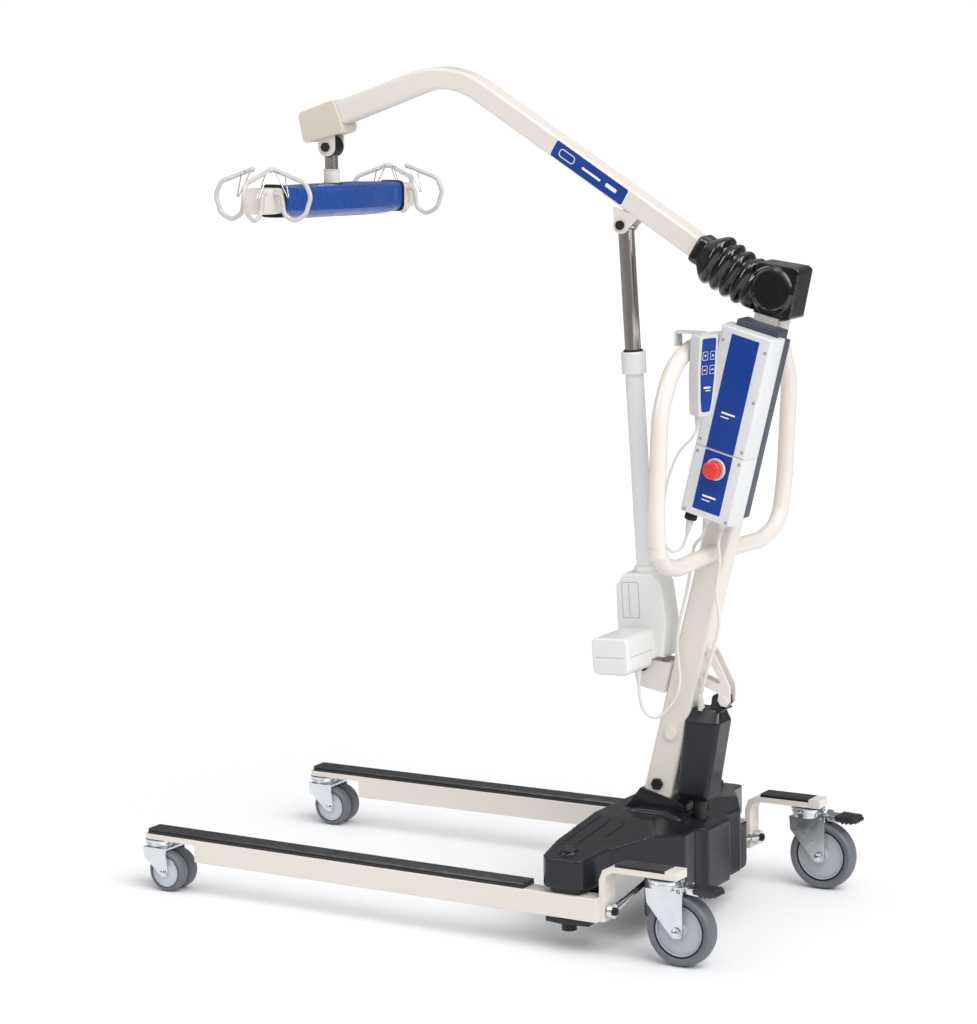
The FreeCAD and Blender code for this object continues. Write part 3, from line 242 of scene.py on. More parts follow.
def finish(name, colour, rough, metal=0.0, coat=0.0, coat_rough=0.1, vary=0.05, patch=7.0, rough_var=0.06,
           grain=900.0, depth=0.0002, strength=0.25, cells=False, stretch=None, specular=0.5):
    """A material: colour that drifts a little, uneven gloss and fine grain in the surface.

    vary and patch set the drift and its scale; grain, depth and strength set the surface grain."""
    n = Nodes(name)
    drift = n.mix(n.remap(n.noise(patch, 4), 0.3, 0.7, 0, 1), scaled(colour, 1 - vary),
                  scaled(colour, 1 + vary))
    n.link(drift, n.bsdf.inputs["Base Color"])
    n.link(n.remap(n.noise(55, 3, stretch=stretch), 0.3, 0.7, rough - rough_var, rough + rough_var),
           n.bsdf.inputs["Roughness"])
    height = n.cells(grain) if cells else n.noise(grain, 3, stretch=stretch)
    n.link(n.bump(height, strength, depth), n.bsdf.inputs["Normal"])
    n.bsdf.inputs["Metallic"].default_value = metal
    n.bsdf.inputs["Coat Weight"].default_value = coat
    n.bsdf.inputs["Coat Roughness"].default_value = coat_rough
    n.bsdf.inputs["Specular IOR Level"].default_value = specular
    return n.mat


MATS = {
    "cream_paint": finish("cream_paint", (0.735, 0.680, 0.622), 0.34, coat=0.25, coat_rough=0.14, vary=0.008,
                          grain=420, depth=0.0001, strength=0.03),
    "black_cover": finish("black_cover", (0.009, 0.010, 0.014), 0.34, vary=0.06, grain=1500, depth=0.0002,
                          strength=0.06, specular=0.30, coat=0.25, coat_rough=0.14),
    "hook_paint": finish("hook_paint", (0.56, 0.535, 0.49), 0.36, coat=0.2, vary=0.02, grain=420,
                         depth=0.0001, strength=0.03),
    "strip_rubber": finish("strip_rubber", (0.016, 0.016, 0.020), 0.36, vary=0.04, grain=1500, depth=0.0001,
                           strength=0.01, specular=0.45),
    "black_steel": finish("black_steel", (0.014, 0.014, 0.016), 0.38, vary=0.1, grain=900, strength=0.2,
                          specular=0.4),
    "black_rubber": finish("black_rubber", (0.004, 0.004, 0.005), 0.24, coat=0.9, coat_rough=0.07, vary=0.06,
                           grain=300, depth=0.0004, strength=0.10, specular=0.3),
    "grip_rubber": finish("grip_rubber", (0.022, 0.021, 0.026), 0.36, vary=0.08, grain=1400, depth=0.0002,
                          strength=0.25, specular=0.5),
    "light_plastic": finish("light_plastic", (0.76, 0.77, 0.75), 0.34, vary=0.012, grain=1300, depth=0.0002,
                            strength=0.15),
    "box_plastic": finish("box_plastic", (0.69, 0.695, 0.70), 0.32, vary=0.006, grain=1300, depth=0.0001,
                          strength=0.04, coat=0.15),
    "back_plate": finish("back_plate", (0.052, 0.066, 0.088), 0.40, vary=0.06, grain=1300, strength=0.25,
                         specular=0.4),
    "red_button": finish("red_button", (0.80, 0.035, 0.022), 0.25, coat=0.4, vary=0.04, grain=900,
                         strength=0.05),
    "grey_plastic": finish("grey_plastic", (0.60, 0.605, 0.59), 0.38, vary=0.015, grain=1300, strength=0.18),
    "cap_plastic": finish("cap_plastic", (0.62, 0.565, 0.465), 0.42, vary=0.02, grain=1200, strength=0.2),
    "zinc_steel": finish("zinc_steel", (0.70, 0.725, 0.75), 0.25, metal=1.0, vary=0.035, patch=30, grain=240,
                         depth=0.0002, strength=0.08),
    "chrome": finish("chrome", (0.86, 0.82, 0.78), 0.16, metal=1.0, vary=0.02, rough_var=0.02, grain=300,
                     strength=0.02),
    "aluminium_tube": finish("aluminium_tube", (0.74, 0.74, 0.73), 0.34, metal=0.12, vary=0.02,
                             grain=500, strength=0.06, stretch=(1, 1, 0.03)),
    "tyre": finish("tyre", (0.125, 0.137, 0.155), 0.50, vary=0.06, patch=20, grain=1100, depth=0.0003,
                   strength=0.3, specular=0.4),
    "wheel_core": finish("wheel_core", (0.40, 0.42, 0.45), 0.40, vary=0.03, grain=1200, strength=0.2),
    "blue_vinyl": finish("blue_vinyl", (0.003, 0.060, 0.30), 0.30, coat=0.25, vary=0.06, patch=12,
                         grain=1600, depth=0.0001, strength=0.12, cells=True, specular=0.45),
    "cord": finish("cord", (0.70, 0.68, 0.64), 0.40, vary=0.03, grain=900, strength=0.1),
    "label_blue": finish("label_blue", (0.004, 0.043, 0.27), 0.34, vary=0.01, grain=1500, strength=0.01,
                         specular=0.3),
    "label_white": finish("label_white", (0.84, 0.84, 0.85), 0.32, vary=0.01, grain=1200, strength=0.05),
    "dark_detail": finish("dark_detail", (0.010, 0.010, 0.011), 0.45, vary=0.1, grain=900, strength=0.2,
                          specular=0.3),
    # own grey of the box screws, and painted shade in the motor housing's panel, rib and seam lines
    "seam_shade_and_screw_grey": finish("seam_shade_and_screw_grey", (0.36, 0.37, 0.37), 0.5, vary=0.03, grain=900, strength=0.1),
    "hub_blue": finish("hub_blue", (0.52, 0.56, 0.62), 0.38, vary=0.03, grain=1200, strength=0.15),
}
for node, slot_name in SLOT_OF.items():
    data = NODES[node].data
    data.materials.clear()
    data.materials.append(MATS[slot_name])


make_floor()
make_dark_wall()


# ---------------------------------------------------------------- cords
def cord_curve(name, points, diameter, mat):
    """One smooth NURBS line through the cord's route."""
    data = bpy.data.curves.new(name, "CURVE")
    data.dimensions = "3D"
    data.bevel_depth = diameter / 2000
    data.bevel_resolution = 5
    data.resolution_u = 12
    data.use_fill_caps = True
    spline = data.splines.new("NURBS")
    spline.points.add(len(points) - 1)
    for p, q in zip(spline.points, points):
        p.co = (*m(q), 1)
    spline.order_u = 3
    spline.use_endpoint_u = True
    data.materials.append(mat)
    return link(name, data)


PLUG_S = 159.0          # along the mast, the box's lower end where the plugs go in
PLUGS = ((72.0, -32.0, 40.0), (62.0, -6.0, 26.0), (62.0, 24.0, 26.0))   # x, offset, length


def plug_end(k):
    """Where the cord of plug k leaves its strain relief."""
    x, t, total = PLUGS[k]
    return on_mast(x, PLUG_S - total, t)


PENDANT_HOOK = Vector((160.0, -23.0, 1058.0))      # the hand control leans and turns about this point
PENDANT_LEAN, PENDANT_YAW = math.radians(-4.5), math.radians(-18.0)
PENDANT_X, PENDANT_Z = 160.0, 920.0                # middle of its case, and the case's lower end


def pendant_dir(x, y, z):
    """A direction in the hand control's own upright axes."""
    p = Matrix.Rotation(PENDANT_LEAN, 3, "X") @ Vector((x, y, z))
    return Matrix.Rotation(PENDANT_YAW, 3, "Z") @ p


def pendant_point(x, y, z):
    """A point in the hand control's own upright axes, leaned and turned as it hangs."""
    return pendant_dir(*(Vector((x, y, z)) - PENDANT_HOOK)) + PENDANT_HOOK


GLAND, GLAND_DIR = Vector((12, -98, 376)), Vector((0.34, 0.10, 0.935)).normalized()
GLAND_END = GLAND + GLAND_DIR * 16.0


def make_cords():
    """The three cords, each through the route of its CAD tube."""
    e = plug_end(0)
    pts = [pendant_point(160, -17, 908), pendant_point(160, -17, 886), (151, -67, 858), (140, -91, 816),
           (128, -107, 778), (118, -117, 738), (110, -120.5, 706), (103.7, -120, 682), (94.4, -114.7, 670),
           (81.3, -104.6, 670), e - AL * 17.5, e]
    c = cord_curve("hand_control_cord", pts, 4.5, MATS["cord"])
    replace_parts(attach(c, "frame"), "pendant_cord")
    s, e = plug_end(1), act(10.5, -0.4, 69)
    pts = [s, s - AL * 15.5, (56.5, -87.3, 681.8), (49, -97, 655), (38, -107, 620), (32, -118, 580),
           (31, -130, 540), (31, -136, 503), (32, -133, 468), (35, -127.5, 434), (39, -132, 402),
           (45, -149, 379), (50, -160, 367), (58, -174, 366), (64, -186, 378), (67.5, -191, 402),
           e - AX * 22, e]
    c = cord_curve("lift_cord", pts, 5.5, MATS["cord"])
    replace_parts(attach(c, "frame"), "lift_motor_cord")
    s, e = plug_end(2), GLAND_END
    pts = [s, s - AL * 17, (55, -39.5, 655), (48, -47, 626), (43, -54.5, 596), (39, -48.5, 558),
           (36.5, -51, 531), (33, -64, 495), (31, -74, 461), (28, -86, 428), e + GLAND_DIR * 15, e]
    c = cord_curve("leg_cord", pts, 6.0, MATS["cord"])
    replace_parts(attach(c, "frame"), "leg_motor_cord")


make_cords()


# ---------------------------------------------------------------- mesh helpers
def tube_faces(rings, around, close_rings=False):
    """Quads between rings of points; close_rings also joins the last ring to the first."""
    return [(k * around + j, k * around + (j + 1) % around, n * around + (j + 1) % around, n * around + j)
            for k in range(rings if close_rings else rings - 1) for n in [(k + 1) % rings]
            for j in range(around)]


def add_mesh(name, verts, faces, mat, body, smooth=30.0, replaces=()):
    """A mesh from points in the part's millimetres, riding on a body unless it is None."""
    mesh = bpy.data.meshes.new(name)
    mesh.from_pydata([tuple(m(v)) for v in verts], [], faces)
    work = bmesh.new()
    work.from_mesh(mesh)
    bmesh.ops.recalc_face_normals(work, faces=work.faces)
    work.to_mesh(mesh)
    work.free()
    mesh.materials.append(mat)
    obj = link(name, mesh)
    shade(obj, smooth)
    if body:
        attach(obj, body)
    if replaces:
        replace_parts(obj, *replaces)
    return obj


def shade(obj, angle):
    """Smooth shading except across edges sharper than the angle."""
    mesh = obj.data
    mesh.shade_smooth()
    mesh.set_sharp_from_angle(angle=math.radians(angle))


def square_axes(axis):
    """Two directions square to a unit axis and to each other."""
    side = EX if abs(axis.x) < 0.9 else EY
    u = (side - axis * side.dot(axis)).normalized()
    return u, axis.cross(u)


def lathe(name, profile, base, axis, mat, body, segments=40, smooth=35.0, replaces=()):
    """Turn (radius, height) points about an axis; radius 0 closes an end."""
    base, axis = Vector(base), Vector(axis).normalized()
    u, w = square_axes(axis)
    verts, rings = [], []
    for r, h in profile:
        if r < 1e-6:
            rings.append([len(verts)])
            verts.append(base + axis * h)
            continue
        rings.append(list(range(len(verts), len(verts) + segments)))
        for k in range(segments):
            a = 2 * math.pi * k / segments
            verts.append(base + axis * h + (u * math.cos(a) + w * math.sin(a)) * r)
    faces = []
    for a, b in zip(rings, rings[1:]):
        for k in range(segments if len(a) + len(b) > 2 else 0):
            n = (k + 1) % segments
            if len(a) == 1:
                faces.append((a[0], b[n], b[k]))
            elif len(b) == 1:
                faces.append((a[k], a[n], b[0]))
            else:
                faces.append((a[k], a[n], b[n], b[k]))
    for end in (rings[0], rings[-1]):
        if len(end) > 1 and profile[0] != profile[-1]:
            faces.append(tuple(end))
    return add_mesh(name, verts, faces, mat, body, smooth, replaces)


def ring(name, radius, r, base, axis, mat, body, segments=56, flat=1.0):
    """A round wire ring: flat < 1 squashes its section along the axis."""
    around = 10
    base, axis = Vector(base), Vector(axis).normalized()
    u, w = square_axes(axis)
    verts = []
    for k in range(segments):
        a = 2 * math.pi * k / segments
        out = u * math.cos(a) + w * math.sin(a)
        for j in range(around):
            b = 2 * math.pi * j / around
            verts.append(base + out * (radius + r * math.cos(b)) + axis * (r * flat * math.sin(b)))
    return add_mesh(name, verts, tube_faces(segments, around, True), mat, body, 60)


def outline_round(points, radius, steps=5):
    """Corners of a closed outline rounded off."""
    out, n = [], len(points)
    for i in range(n):
        p, a, b = (Vector(points[i]), Vector(points[i - 1]), Vector(points[(i + 1) % n]))
        da, db = (a - p), (b - p)
        r = min(radius, 0.45 * da.length, 0.45 * db.length)
        p0, p1 = p + da.normalized() * r, p + db.normalized() * r
        for k in range(steps + 1):
            t = k / steps
            out.append(p0.lerp(p, t).lerp(p.lerp(p1, t), t))
    return out


def plate(name, outlines, origin, u, v, thick, mat, body):
    """A thin plate; the first outline is its edge and the others are holes, in mm along u and v."""
    data = bpy.data.curves.new(name, "CURVE")
    data.dimensions, data.fill_mode = "2D", "BOTH"
    data.extrude = thick / 2000
    for points in outlines:
        spline = data.splines.new("POLY")
        spline.points.add(len(points) - 1)
        for p, q in zip(spline.points, points):
            p.co = (q[0] / 1000, q[1] / 1000, 0, 1)
        spline.use_cyclic_u = True
    curve = link(name, data)
    bpy.context.view_layer.update()
    mesh = bpy.data.meshes.new_from_object(curve.evaluated_get(bpy.context.evaluated_depsgraph_get()))
    bpy.data.objects.remove(curve)
    bpy.data.curves.remove(data)
    mesh.name = name
    u, v = Vector(u).normalized(), Vector(v).normalized()
    n = u.cross(v)
    place = Matrix((u, v, n)).transposed().to_4x4()
    place.translation = m(Vector(origin) + n * (thick / 2))
    mesh.transform(place)
    mesh.materials.clear()
    mesh.materials.append(mat)
    obj = link(name, mesh)
    shade(obj, 30)
    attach(obj, body)


def rect(u0, u1, v0, v1, radius=0.0):
    """A rectangle's corners, rounded where a radius is given."""
    pts = [(u0, v0), (u1, v0), (u1, v1), (u0, v1)]
    return outline_round(pts, radius) if radius else pts


def stand_in(name, node, mesh):
    """A new object in a CAD node's place."""
    obj = link(name, mesh)
    obj.matrix_world = NODES[node].matrix_world.copy()
    return obj


def take_over(obj, node, body, angle):
    """Puts a new piece in a CAD node's stead, with the node's finish."""
    shade(obj, angle)
    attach(obj, body)
    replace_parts(obj, node)
    obj.data.materials.clear()
    obj.data.materials.append(MATS[SLOT_OF[node]])


def rounded_copy(node, body, width):
    """Stands for a CAD node with its sharp edges rounded off."""
    mesh = NODES[node].data.copy()
    mesh.name = node + "_rounded"
    work = bmesh.new()
    work.from_mesh(mesh)
    bmesh.ops.remove_doubles(work, verts=work.verts, dist=0.00002)
    bmesh.ops.dissolve_limit(work, angle_limit=math.radians(2.0), verts=work.verts, edges=work.edges)
    sharp = [e for e in work.edges if len(e.link_faces) == 2 and e.calc_face_angle(0.0) > math.radians(32)]
    bmesh.ops.bevel(work, geom=sharp, offset=width / 1000, segments=3, profile=0.5, affect="EDGES",
                    clamp_overlap=True)
    bmesh.ops.triangulate(work, faces=[f for f in work.faces if len(f.verts) > 4])
    work.to_mesh(mesh)
    work.free()
    take_over(stand_in(mesh.name, node, mesh), node, body, 40)


def moulded_copy(node, body, voxel, passes, keep):
    """Stands for a moulded CAD node, its edges melted to generous radii."""
    obj = stand_in(node + "_moulded", node, NODES[node].data.copy())
    grid = obj.modifiers.new("grid", "REMESH")
    grid.mode, grid.voxel_size = "VOXEL", voxel / 1000
    melt = obj.modifiers.new("melt", "SMOOTH")
    melt.factor, melt.iterations = 0.5, passes
    obj.modifiers.new("thin", "DECIMATE").ratio = keep
    apply_modifiers(obj)
    take_over(obj, node, body, 80)


def apply_modifiers(obj):
    """Turns the object's modifiers into its mesh."""
    bpy.context.view_layer.update()
    deps = bpy.context.evaluated_depsgraph_get()
    mesh = bpy.data.meshes.new_from_object(obj.evaluated_get(deps))
    obj.modifiers.clear()
    mesh.name = obj.name
    obj.data = mesh


def closed_wire(name, points, r, mat, body):
    """A round wire in a smooth closed loop through points."""
    data = bpy.data.curves.new(name, "CURVE")
    data.dimensions, data.bevel_depth, data.bevel_resolution = "3D", r / 1000, 4
    spline = data.splines.new("NURBS")
    spline.points.add(len(points) - 1)
    for p, q in zip(spline.points, points):
        p.co = (*m(q), 1)
    spline.order_u = 3
    spline.use_cyclic_u = True
    data.materials.append(mat)
    obj = link(name, data)
    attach(obj, body)


def boxy(name, outline, direction, mat, body, bevel, replaces=()):
    """A prism from an outline of points, with rounded edges."""
    d = Vector(direction)
    low = [Vector(p) for p in outline]
    n = len(low)
    verts = low + [p + d for p in low]
    faces = [tuple(range(n)), tuple(range(n, 2 * n)), *tube_faces(2, n)]
    obj = add_mesh(name, verts, faces, mat, body, 40, replaces)
    work = bmesh.new()
    work.from_mesh(obj.data)
    bmesh.ops.bevel(work, geom=work.edges[:], offset=bevel / 1000, segments=3, profile=0.6,
                    affect="EDGES", clamp_overlap=True)
    work.to_mesh(obj.data)
    work.free()
    shade(obj, 40)


# ---------------------------------------------------------------- softened CAD nodes
# node, body, then a rounding in mm, or a moulding's grid in mm, smoothing passes and share of faces kept
SOFTENED = (("boom_end_cap", "boom", 1.4, 9, 0.3), ("boot_housing", "frame", 1.5, 14, 0.3),
            ("mast_socket", "frame", 2.0), ("leg_motor_shroud", "frame", 1.8, 5, 0.3),
            ("base_cover", "frame", 2.0, 7, 0.2), ("control_box", "frame", 1.0),
            ("battery_pack", "battery", 1.0), ("lift_motor_housing", "lift_actuator", 2.5),
            ("box_mount_plate", "frame", 1.2))
for row in SOFTENED:
    (moulded_copy if len(row) > 3 else rounded_copy)(*row)
for cad_node in NODES.values():
    if cad_node.type == "MESH":
        shade(cad_node, 28)


def paint_faces(node, mats, pick=lambda c: 0):
    """Gives each face of a CAD node one of several finishes, picked from its centre in mm."""
    data = NODES[node].data
    data.materials.clear()
    for mat in mats:
        data.materials.append(MATS[mat])
    for face in data.polygons:
        c = face.center * 1000
        face.material_index = pick(Vector((c.x, c.y - Y_SHIFT, c.z)))


def make_node_finishes():
    """Finishes for CAD nodes that differ from their slot's, or that change across the node."""
    plug_low, plug_high, disc_r = 300, 360, 28.5
    paint_faces("frame_bolts", ("dark_detail", "cream_paint"), lambda c: int(plug_low < c.z < plug_high))
    paint_faces("boom_bolts", ("dark_detail",))
    paint_faces("sling_hooks", ("hook_paint",))
    for name, side in SIDES:
        paint_faces("leg_strips_" + name, ("strip_rubber",))
        hub = on_leg(*FRONT_HUB, side)
        paint_faces("front_wheels_" + name, ("tyre", "hub_blue"),
                    lambda c: int(math.hypot(c.y - hub.y, c.z - hub.z) < disc_r))
    for key in KEYS:
        NODES["button_" + key[0]].data.materials[0] = MATS["label_blue"]


make_node_finishes()


# ---------------------------------------------------------------- control box
def face_plate(name, t0, t1, s0, s1, thick, mat, body, radius, holes=(), lift=0.0):
    """A plate on the box's outer face, given across and along the mast."""
    outer = rect(t0, t1, s0, s1, radius)
    return plate(name, [outer, *holes], MAST_REF + EX * (FACE_X + lift), NY, AL, thick, MATS[mat], body)


def circle(cu, cv, r, steps=40):
    """Points round a circle."""
    return [(cu + r * math.cos(2 * math.pi * k / steps), cv + r * math.sin(2 * math.pi * k / steps))
            for k in range(steps)]


def make_box_details():
    """Labels with plain marks, the emergency stop's collar and groove, and ten screws."""
    stop_s, split_s, screw_t = 248, 279, 40.5
    face_plate("battery_label", -26.5, 26.5, 280.6, 482, 0.5, "label_blue", "battery", 1.5)
    face_plate("control_label", -26.5, 26.5, 171, 277.2, 0.5, "label_blue", "frame", 1.5,
               holes=[circle(0, stop_s, 17.6)])
    for name, s0, body in (("battery", 345, "battery"), ("control", 196, "frame")):
        face_plate(name + "_mark", -13, 13, s0, s0 + 3.2, 0.3, "label_white", body, 1.5, lift=0.5)
        face_plate(name + "_mark_small", -13, 3, s0 - 6.5, s0 - 4.7, 0.3, "label_white", body, 0.8, lift=0.5)
    lathe("estop_collar", [(16.3, 0), (17.2, 0), (17.5, 0.5), (17.2, 1.0), (16.3, 1.0), (16.3, 0)],
          on_mast(FACE_X + 3.0, stop_s, 0), EX, MATS["cap_plastic"], "frame")
    ring("estop_groove", 9.5, 0.6, on_mast(FACE_X + 20.0, stop_s, 0), EX, MATS["red_button"], "estop")
    for k, s in enumerate((467, 379, 291, 269, 164)):
        body = "battery" if s > split_s else "frame"
        for tag, side in (("a", -1), ("b", 1)):
            lathe("box_screw_%d_%s" % (k + 1, tag),
                  [(0.0, 0.5), (1.5, 0.5), (1.7, 1.1), (2.7, 1.1), (3.1, 0.2)],
                  on_mast(FACE_X - 0.2, s, screw_t * side), EX, MATS["seam_shade_and_screw_grey"], body, 18)


def make_plugs():
    """A black ring plug and two light ones, each with its strain relief."""
    for k, (x, t, length) in enumerate(PLUGS):
        start = on_mast(x, PLUG_S, t)
        if k == 0:
            lathe("plug_ring", [(0, 0), (10.6, 0), (11, 0.8), (11, 4), (10.2, 4.6), (10.2, 5.6), (11, 6.2),
                                (11, 12.8), (10.2, 14), (0, 14)], start, -AL, MATS["dark_detail"], "frame",
                  replaces=("cable_plugs",))
            h, r, end = 14.0, 7.2, 2.7
        else:
            lathe("plug_body_%d" % k, [(0, 0), (6.2, 0), (6.5, 0.6), (6.5, 11), (5.9, 12), (0, 12)], start,
                  -AL, MATS["cord"], "frame", replaces=("cable_plugs",))
            h, r, end = 12.0, 5.8, 3.4
        relief("strain_relief_%d" % (k + 1), start - AL * h, -AL, length - h + 3.0, r, end, "frame")


def relief(name, base, axis, length, r0, r1, body, ribs=6):
    """Ribbed taper where a cord leaves a housing."""
    profile, step = [(0, 0)], length / ribs
    for k in range(ribs):
        r = r0 + (r1 - r0) * k / ribs
        h = k * step
        profile += [(r, h), (r, h + step * 0.55), (r - 1.1, h + step * 0.62), (r - 1.1, h + step * 0.95)]
    profile += [(r1, length), (0, length)]
    lathe(name, profile, base, axis, MATS["cord"], body, 24, 40)


make_box_details()
make_plugs()
relief("strain_relief_pendant", pendant_point(PENDANT_X, -17, PENDANT_Z), pendant_dir(0, 0, -1), 26, 6.2, 3.0,
       "frame")
relief("strain_relief_lift", act(10.5, 2.5, 69), -AX, 24, 6.6, 3.6, "lift_actuator", 5)
relief("strain_relief_leg", GLAND + GLAND_DIR * 4, GLAND_DIR, 30, 6.4, 4.2, "frame", 8)


# ---------------------------------------------------------------- hand control
def make_pendant_details():
    """Tapering label with a framed, marked key in each of its four windows."""
    u, v = pendant_dir(-1, 0, 0), pendant_dir(0, 0, 1)

    def on_pendant(name, outlines, x, y, z, body, mat="label_white", thick=0.35):
        plate(name, outlines, pendant_point(PENDANT_X + x, y, PENDANT_Z + z), u, v, thick, MATS[mat], body)

    outer = outline_round([(-16.5, 74), (-13, 28), (-9.5, 8), (9.5, 8), (13, 28), (16.5, 74), (16, 133),
                           (-16, 133)], 4)
    windows = [rect(x - 7.1, x + 7.1, z - 8.1, z + 8.1, 1.2) for name, x, z in KEYS]
    on_pendant("pendant_label", [outer, *windows], 0, 0, 0, "frame", "label_blue", 0.5)
    marks = {"raise": [(-2.4, -1.6), (2.4, -1.6), (0, 2.2)], "lower": [(-2.4, 1.6), (2.4, 1.6), (0, -2.2)],
             "open": rect(-3, 3, -0.7, 0.7), "close": rect(-3, 3, -0.7, 0.7)}
    for name, x, z in KEYS:
        frame_lines = [rect(-6.2, 6.2, -7.2, 7.2, 1.5), rect(-5.6, 5.6, -6.6, 6.6, 1.2)]
        on_pendant("key_frame_" + name, frame_lines, x, 1.6, z, "btn_" + name)
    for name, x, z in KEYS:
        on_pendant("key_mark_" + name, [marks[name]], x, 1.6, z, "btn_" + name)
    on_pendant("pendant_mark", [rect(-8, 8, 48, 51, 1.2)], 0, 0.5, 0, "frame")
    on_pendant("pendant_mark_small", [rect(-3, 8, 43.5, 45, 0.6)], 0, 0.5, 0, "frame")


make_pendant_details()


# ---------------------------------------------------------------- boom
def make_boom_labels():
    """Blue field with a white border and plain marks, one on each side of the boom."""
    along = Vector((0, 1, -0.609)).normalized()
    up = Vector((0, 0.609, 1)).normalized()
    layers = (("label_edge", [rect(-83, 83, -16.6, 16.6, 5)], 0.0, 0.35, "label_white"),
              ("label", [rect(-81.6, 81.6, -15.2, 15.2, 4)], 0.35, 0.3, "label_blue"),
              ("mark", [rect(-68, -34, -7.5, 7.5, 7.4), rect(-66.6, -35.4, -6.1, 6.1, 6)], 0.65, 0.25,
               "label_white"),
              ("bar", [rect(-16, 26, -2.6, 1.6, 2)], 0.65, 0.25, "label_white"),
              ("bar_small", [rect(38, 62, -3.4, 3.4, 2)], 0.65, 0.25, "label_white"))
    for name, side in SIDES:
        for layer, outlines, lift, thick, mat in layers:
            plate("boom_%s_%s" % (layer, name), outlines, ((20.0 + lift) * side, -308.0, 1310.5),
                  along * side, up, thick, MATS[mat], "boom")


BOOM_D = Vector((0, 1, -0.612)).normalized()
BOOM_UP = Vector((0, 0.612, 1)).normalized()


def superellipse(centre, a, b, half_a, half_b, power, steps=48):
    """Points round a section between a square (power near 0) and an ellipse (power 1)."""
    out = []
    for k in range(steps):
        t = 2 * math.pi * k / steps
        c, s = math.cos(t), math.sin(t)
        out.append(centre + a * (half_a * math.copysign(abs(c) ** power, c))
                   + b * (half_b * math.copysign(abs(s) ** power, s)))
    return out


def boom_centre(y):
    """The boom's centre line near its root."""
    return Vector((0, y, 1122.0 - 0.612 * y))


def make_bellows():
    """Rubber boot: square collar on the boom, five folds, and a neck inside the housing."""
    # y on the centre line, half width, half height, power
    stations = [(-104, 20.6, 20.6, 0.35), (-104, 23.4, 23.4, 0.35), (-102.5, 24.4, 24.4, 0.35),
                (-93, 24.4, 24.4, 0.4), (-91, 23.4, 23.4, 0.4), (-88, 24.0, 24.5, 0.45),
                (-82, 29, 34, 0.6), (-75, 33, 42, 0.7)]
    folds = (-69.5, -50.5, -32.0, -13.0)
    for k, y in enumerate(folds):
        hx, hz = 35.5 - 0.3 * k, 45.0 - 0.5 * k
        stations += [(y - 4.2, hx - 1.6, hz - 2.2, 0.75), (y - 1.6, hx - 0.2, hz - 0.3, 0.78),
                     (y + 1.6, hx, hz, 0.78), (y + 4.2, hx - 2.2, hz - 3.0, 0.75),
                     (y + 7.0, hx - 6.0, hz - 7.5, 0.7), (y + 9.6, hx - 7.2, hz - 9.0, 0.68),
                     (y + 12.2, hx - 5.6, hz - 7.0, 0.7)]
    stations = stations[:-1]
    stations += [(0.5, 29.5, 38.0, 0.6), (6.0, 28.4, 39.0, 0.5), (12.0, 25.5, 37.0, 0.45),
                 (18.0, 24.8, 36.0, 0.4)]
    verts, n = [], 48
    for k, (y, hx, hz, power) in enumerate(stations):
        lift = max(0.0, (y + 30.0) / 48.0) * 6.0
        c = boom_centre(y) + BOOM_UP * lift
        for j, p in enumerate(superellipse(c, EX, BOOM_UP, hx, hz, power, n)):
            swirl = 0.9 * math.sin(2 * math.pi * j / n * 2 + k * 0.35) if 8 < k < len(stations) - 4 else 0
            verts.append(p + BOOM_D * swirl)
    boot = add_mesh("rubber_boot", verts, tube_faces(len(stations), n), MATS["black_rubber"], None,
                    60)
    thick = boot.modifiers.new("wall", "SOLIDIFY")
    thick.thickness, thick.offset = 0.0016, 1.0
    smooth = boot.modifiers.new("round", "SUBSURF")
    smooth.levels = smooth.render_levels = 1
    apply_modifiers(boot)
    shade(boot, 60)
    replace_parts(boot, "boom_bellows")
    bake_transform(boot)


def make_boot_details():
    """Raised ring on each side of the boot's housing, and the cradle swivel's bush and collar."""
    for name, side in SIDES:
        ring("boot_ring_" + name, 34.5, 2.4, PIVOT + EX * (33.6 * side), EX, MATS["black_rubber"], "frame",
             flat=0.7)
    lathe("swivel_bush", [(0, -12.5), (18.4, -12.5), (19.1, -11.8), (19.1, 11.8), (18.4, 12.5), (0, 12.5)],
          SWIVEL, EX, MATS["dark_detail"], "swivel")
    ring("post_collar", 14.6, 1.0, SWIVEL + Vector((0, 0, -41.5)), EZ, MATS["cream_paint"], "cradle")


make_boom_labels()
make_bellows()
make_boot_details()


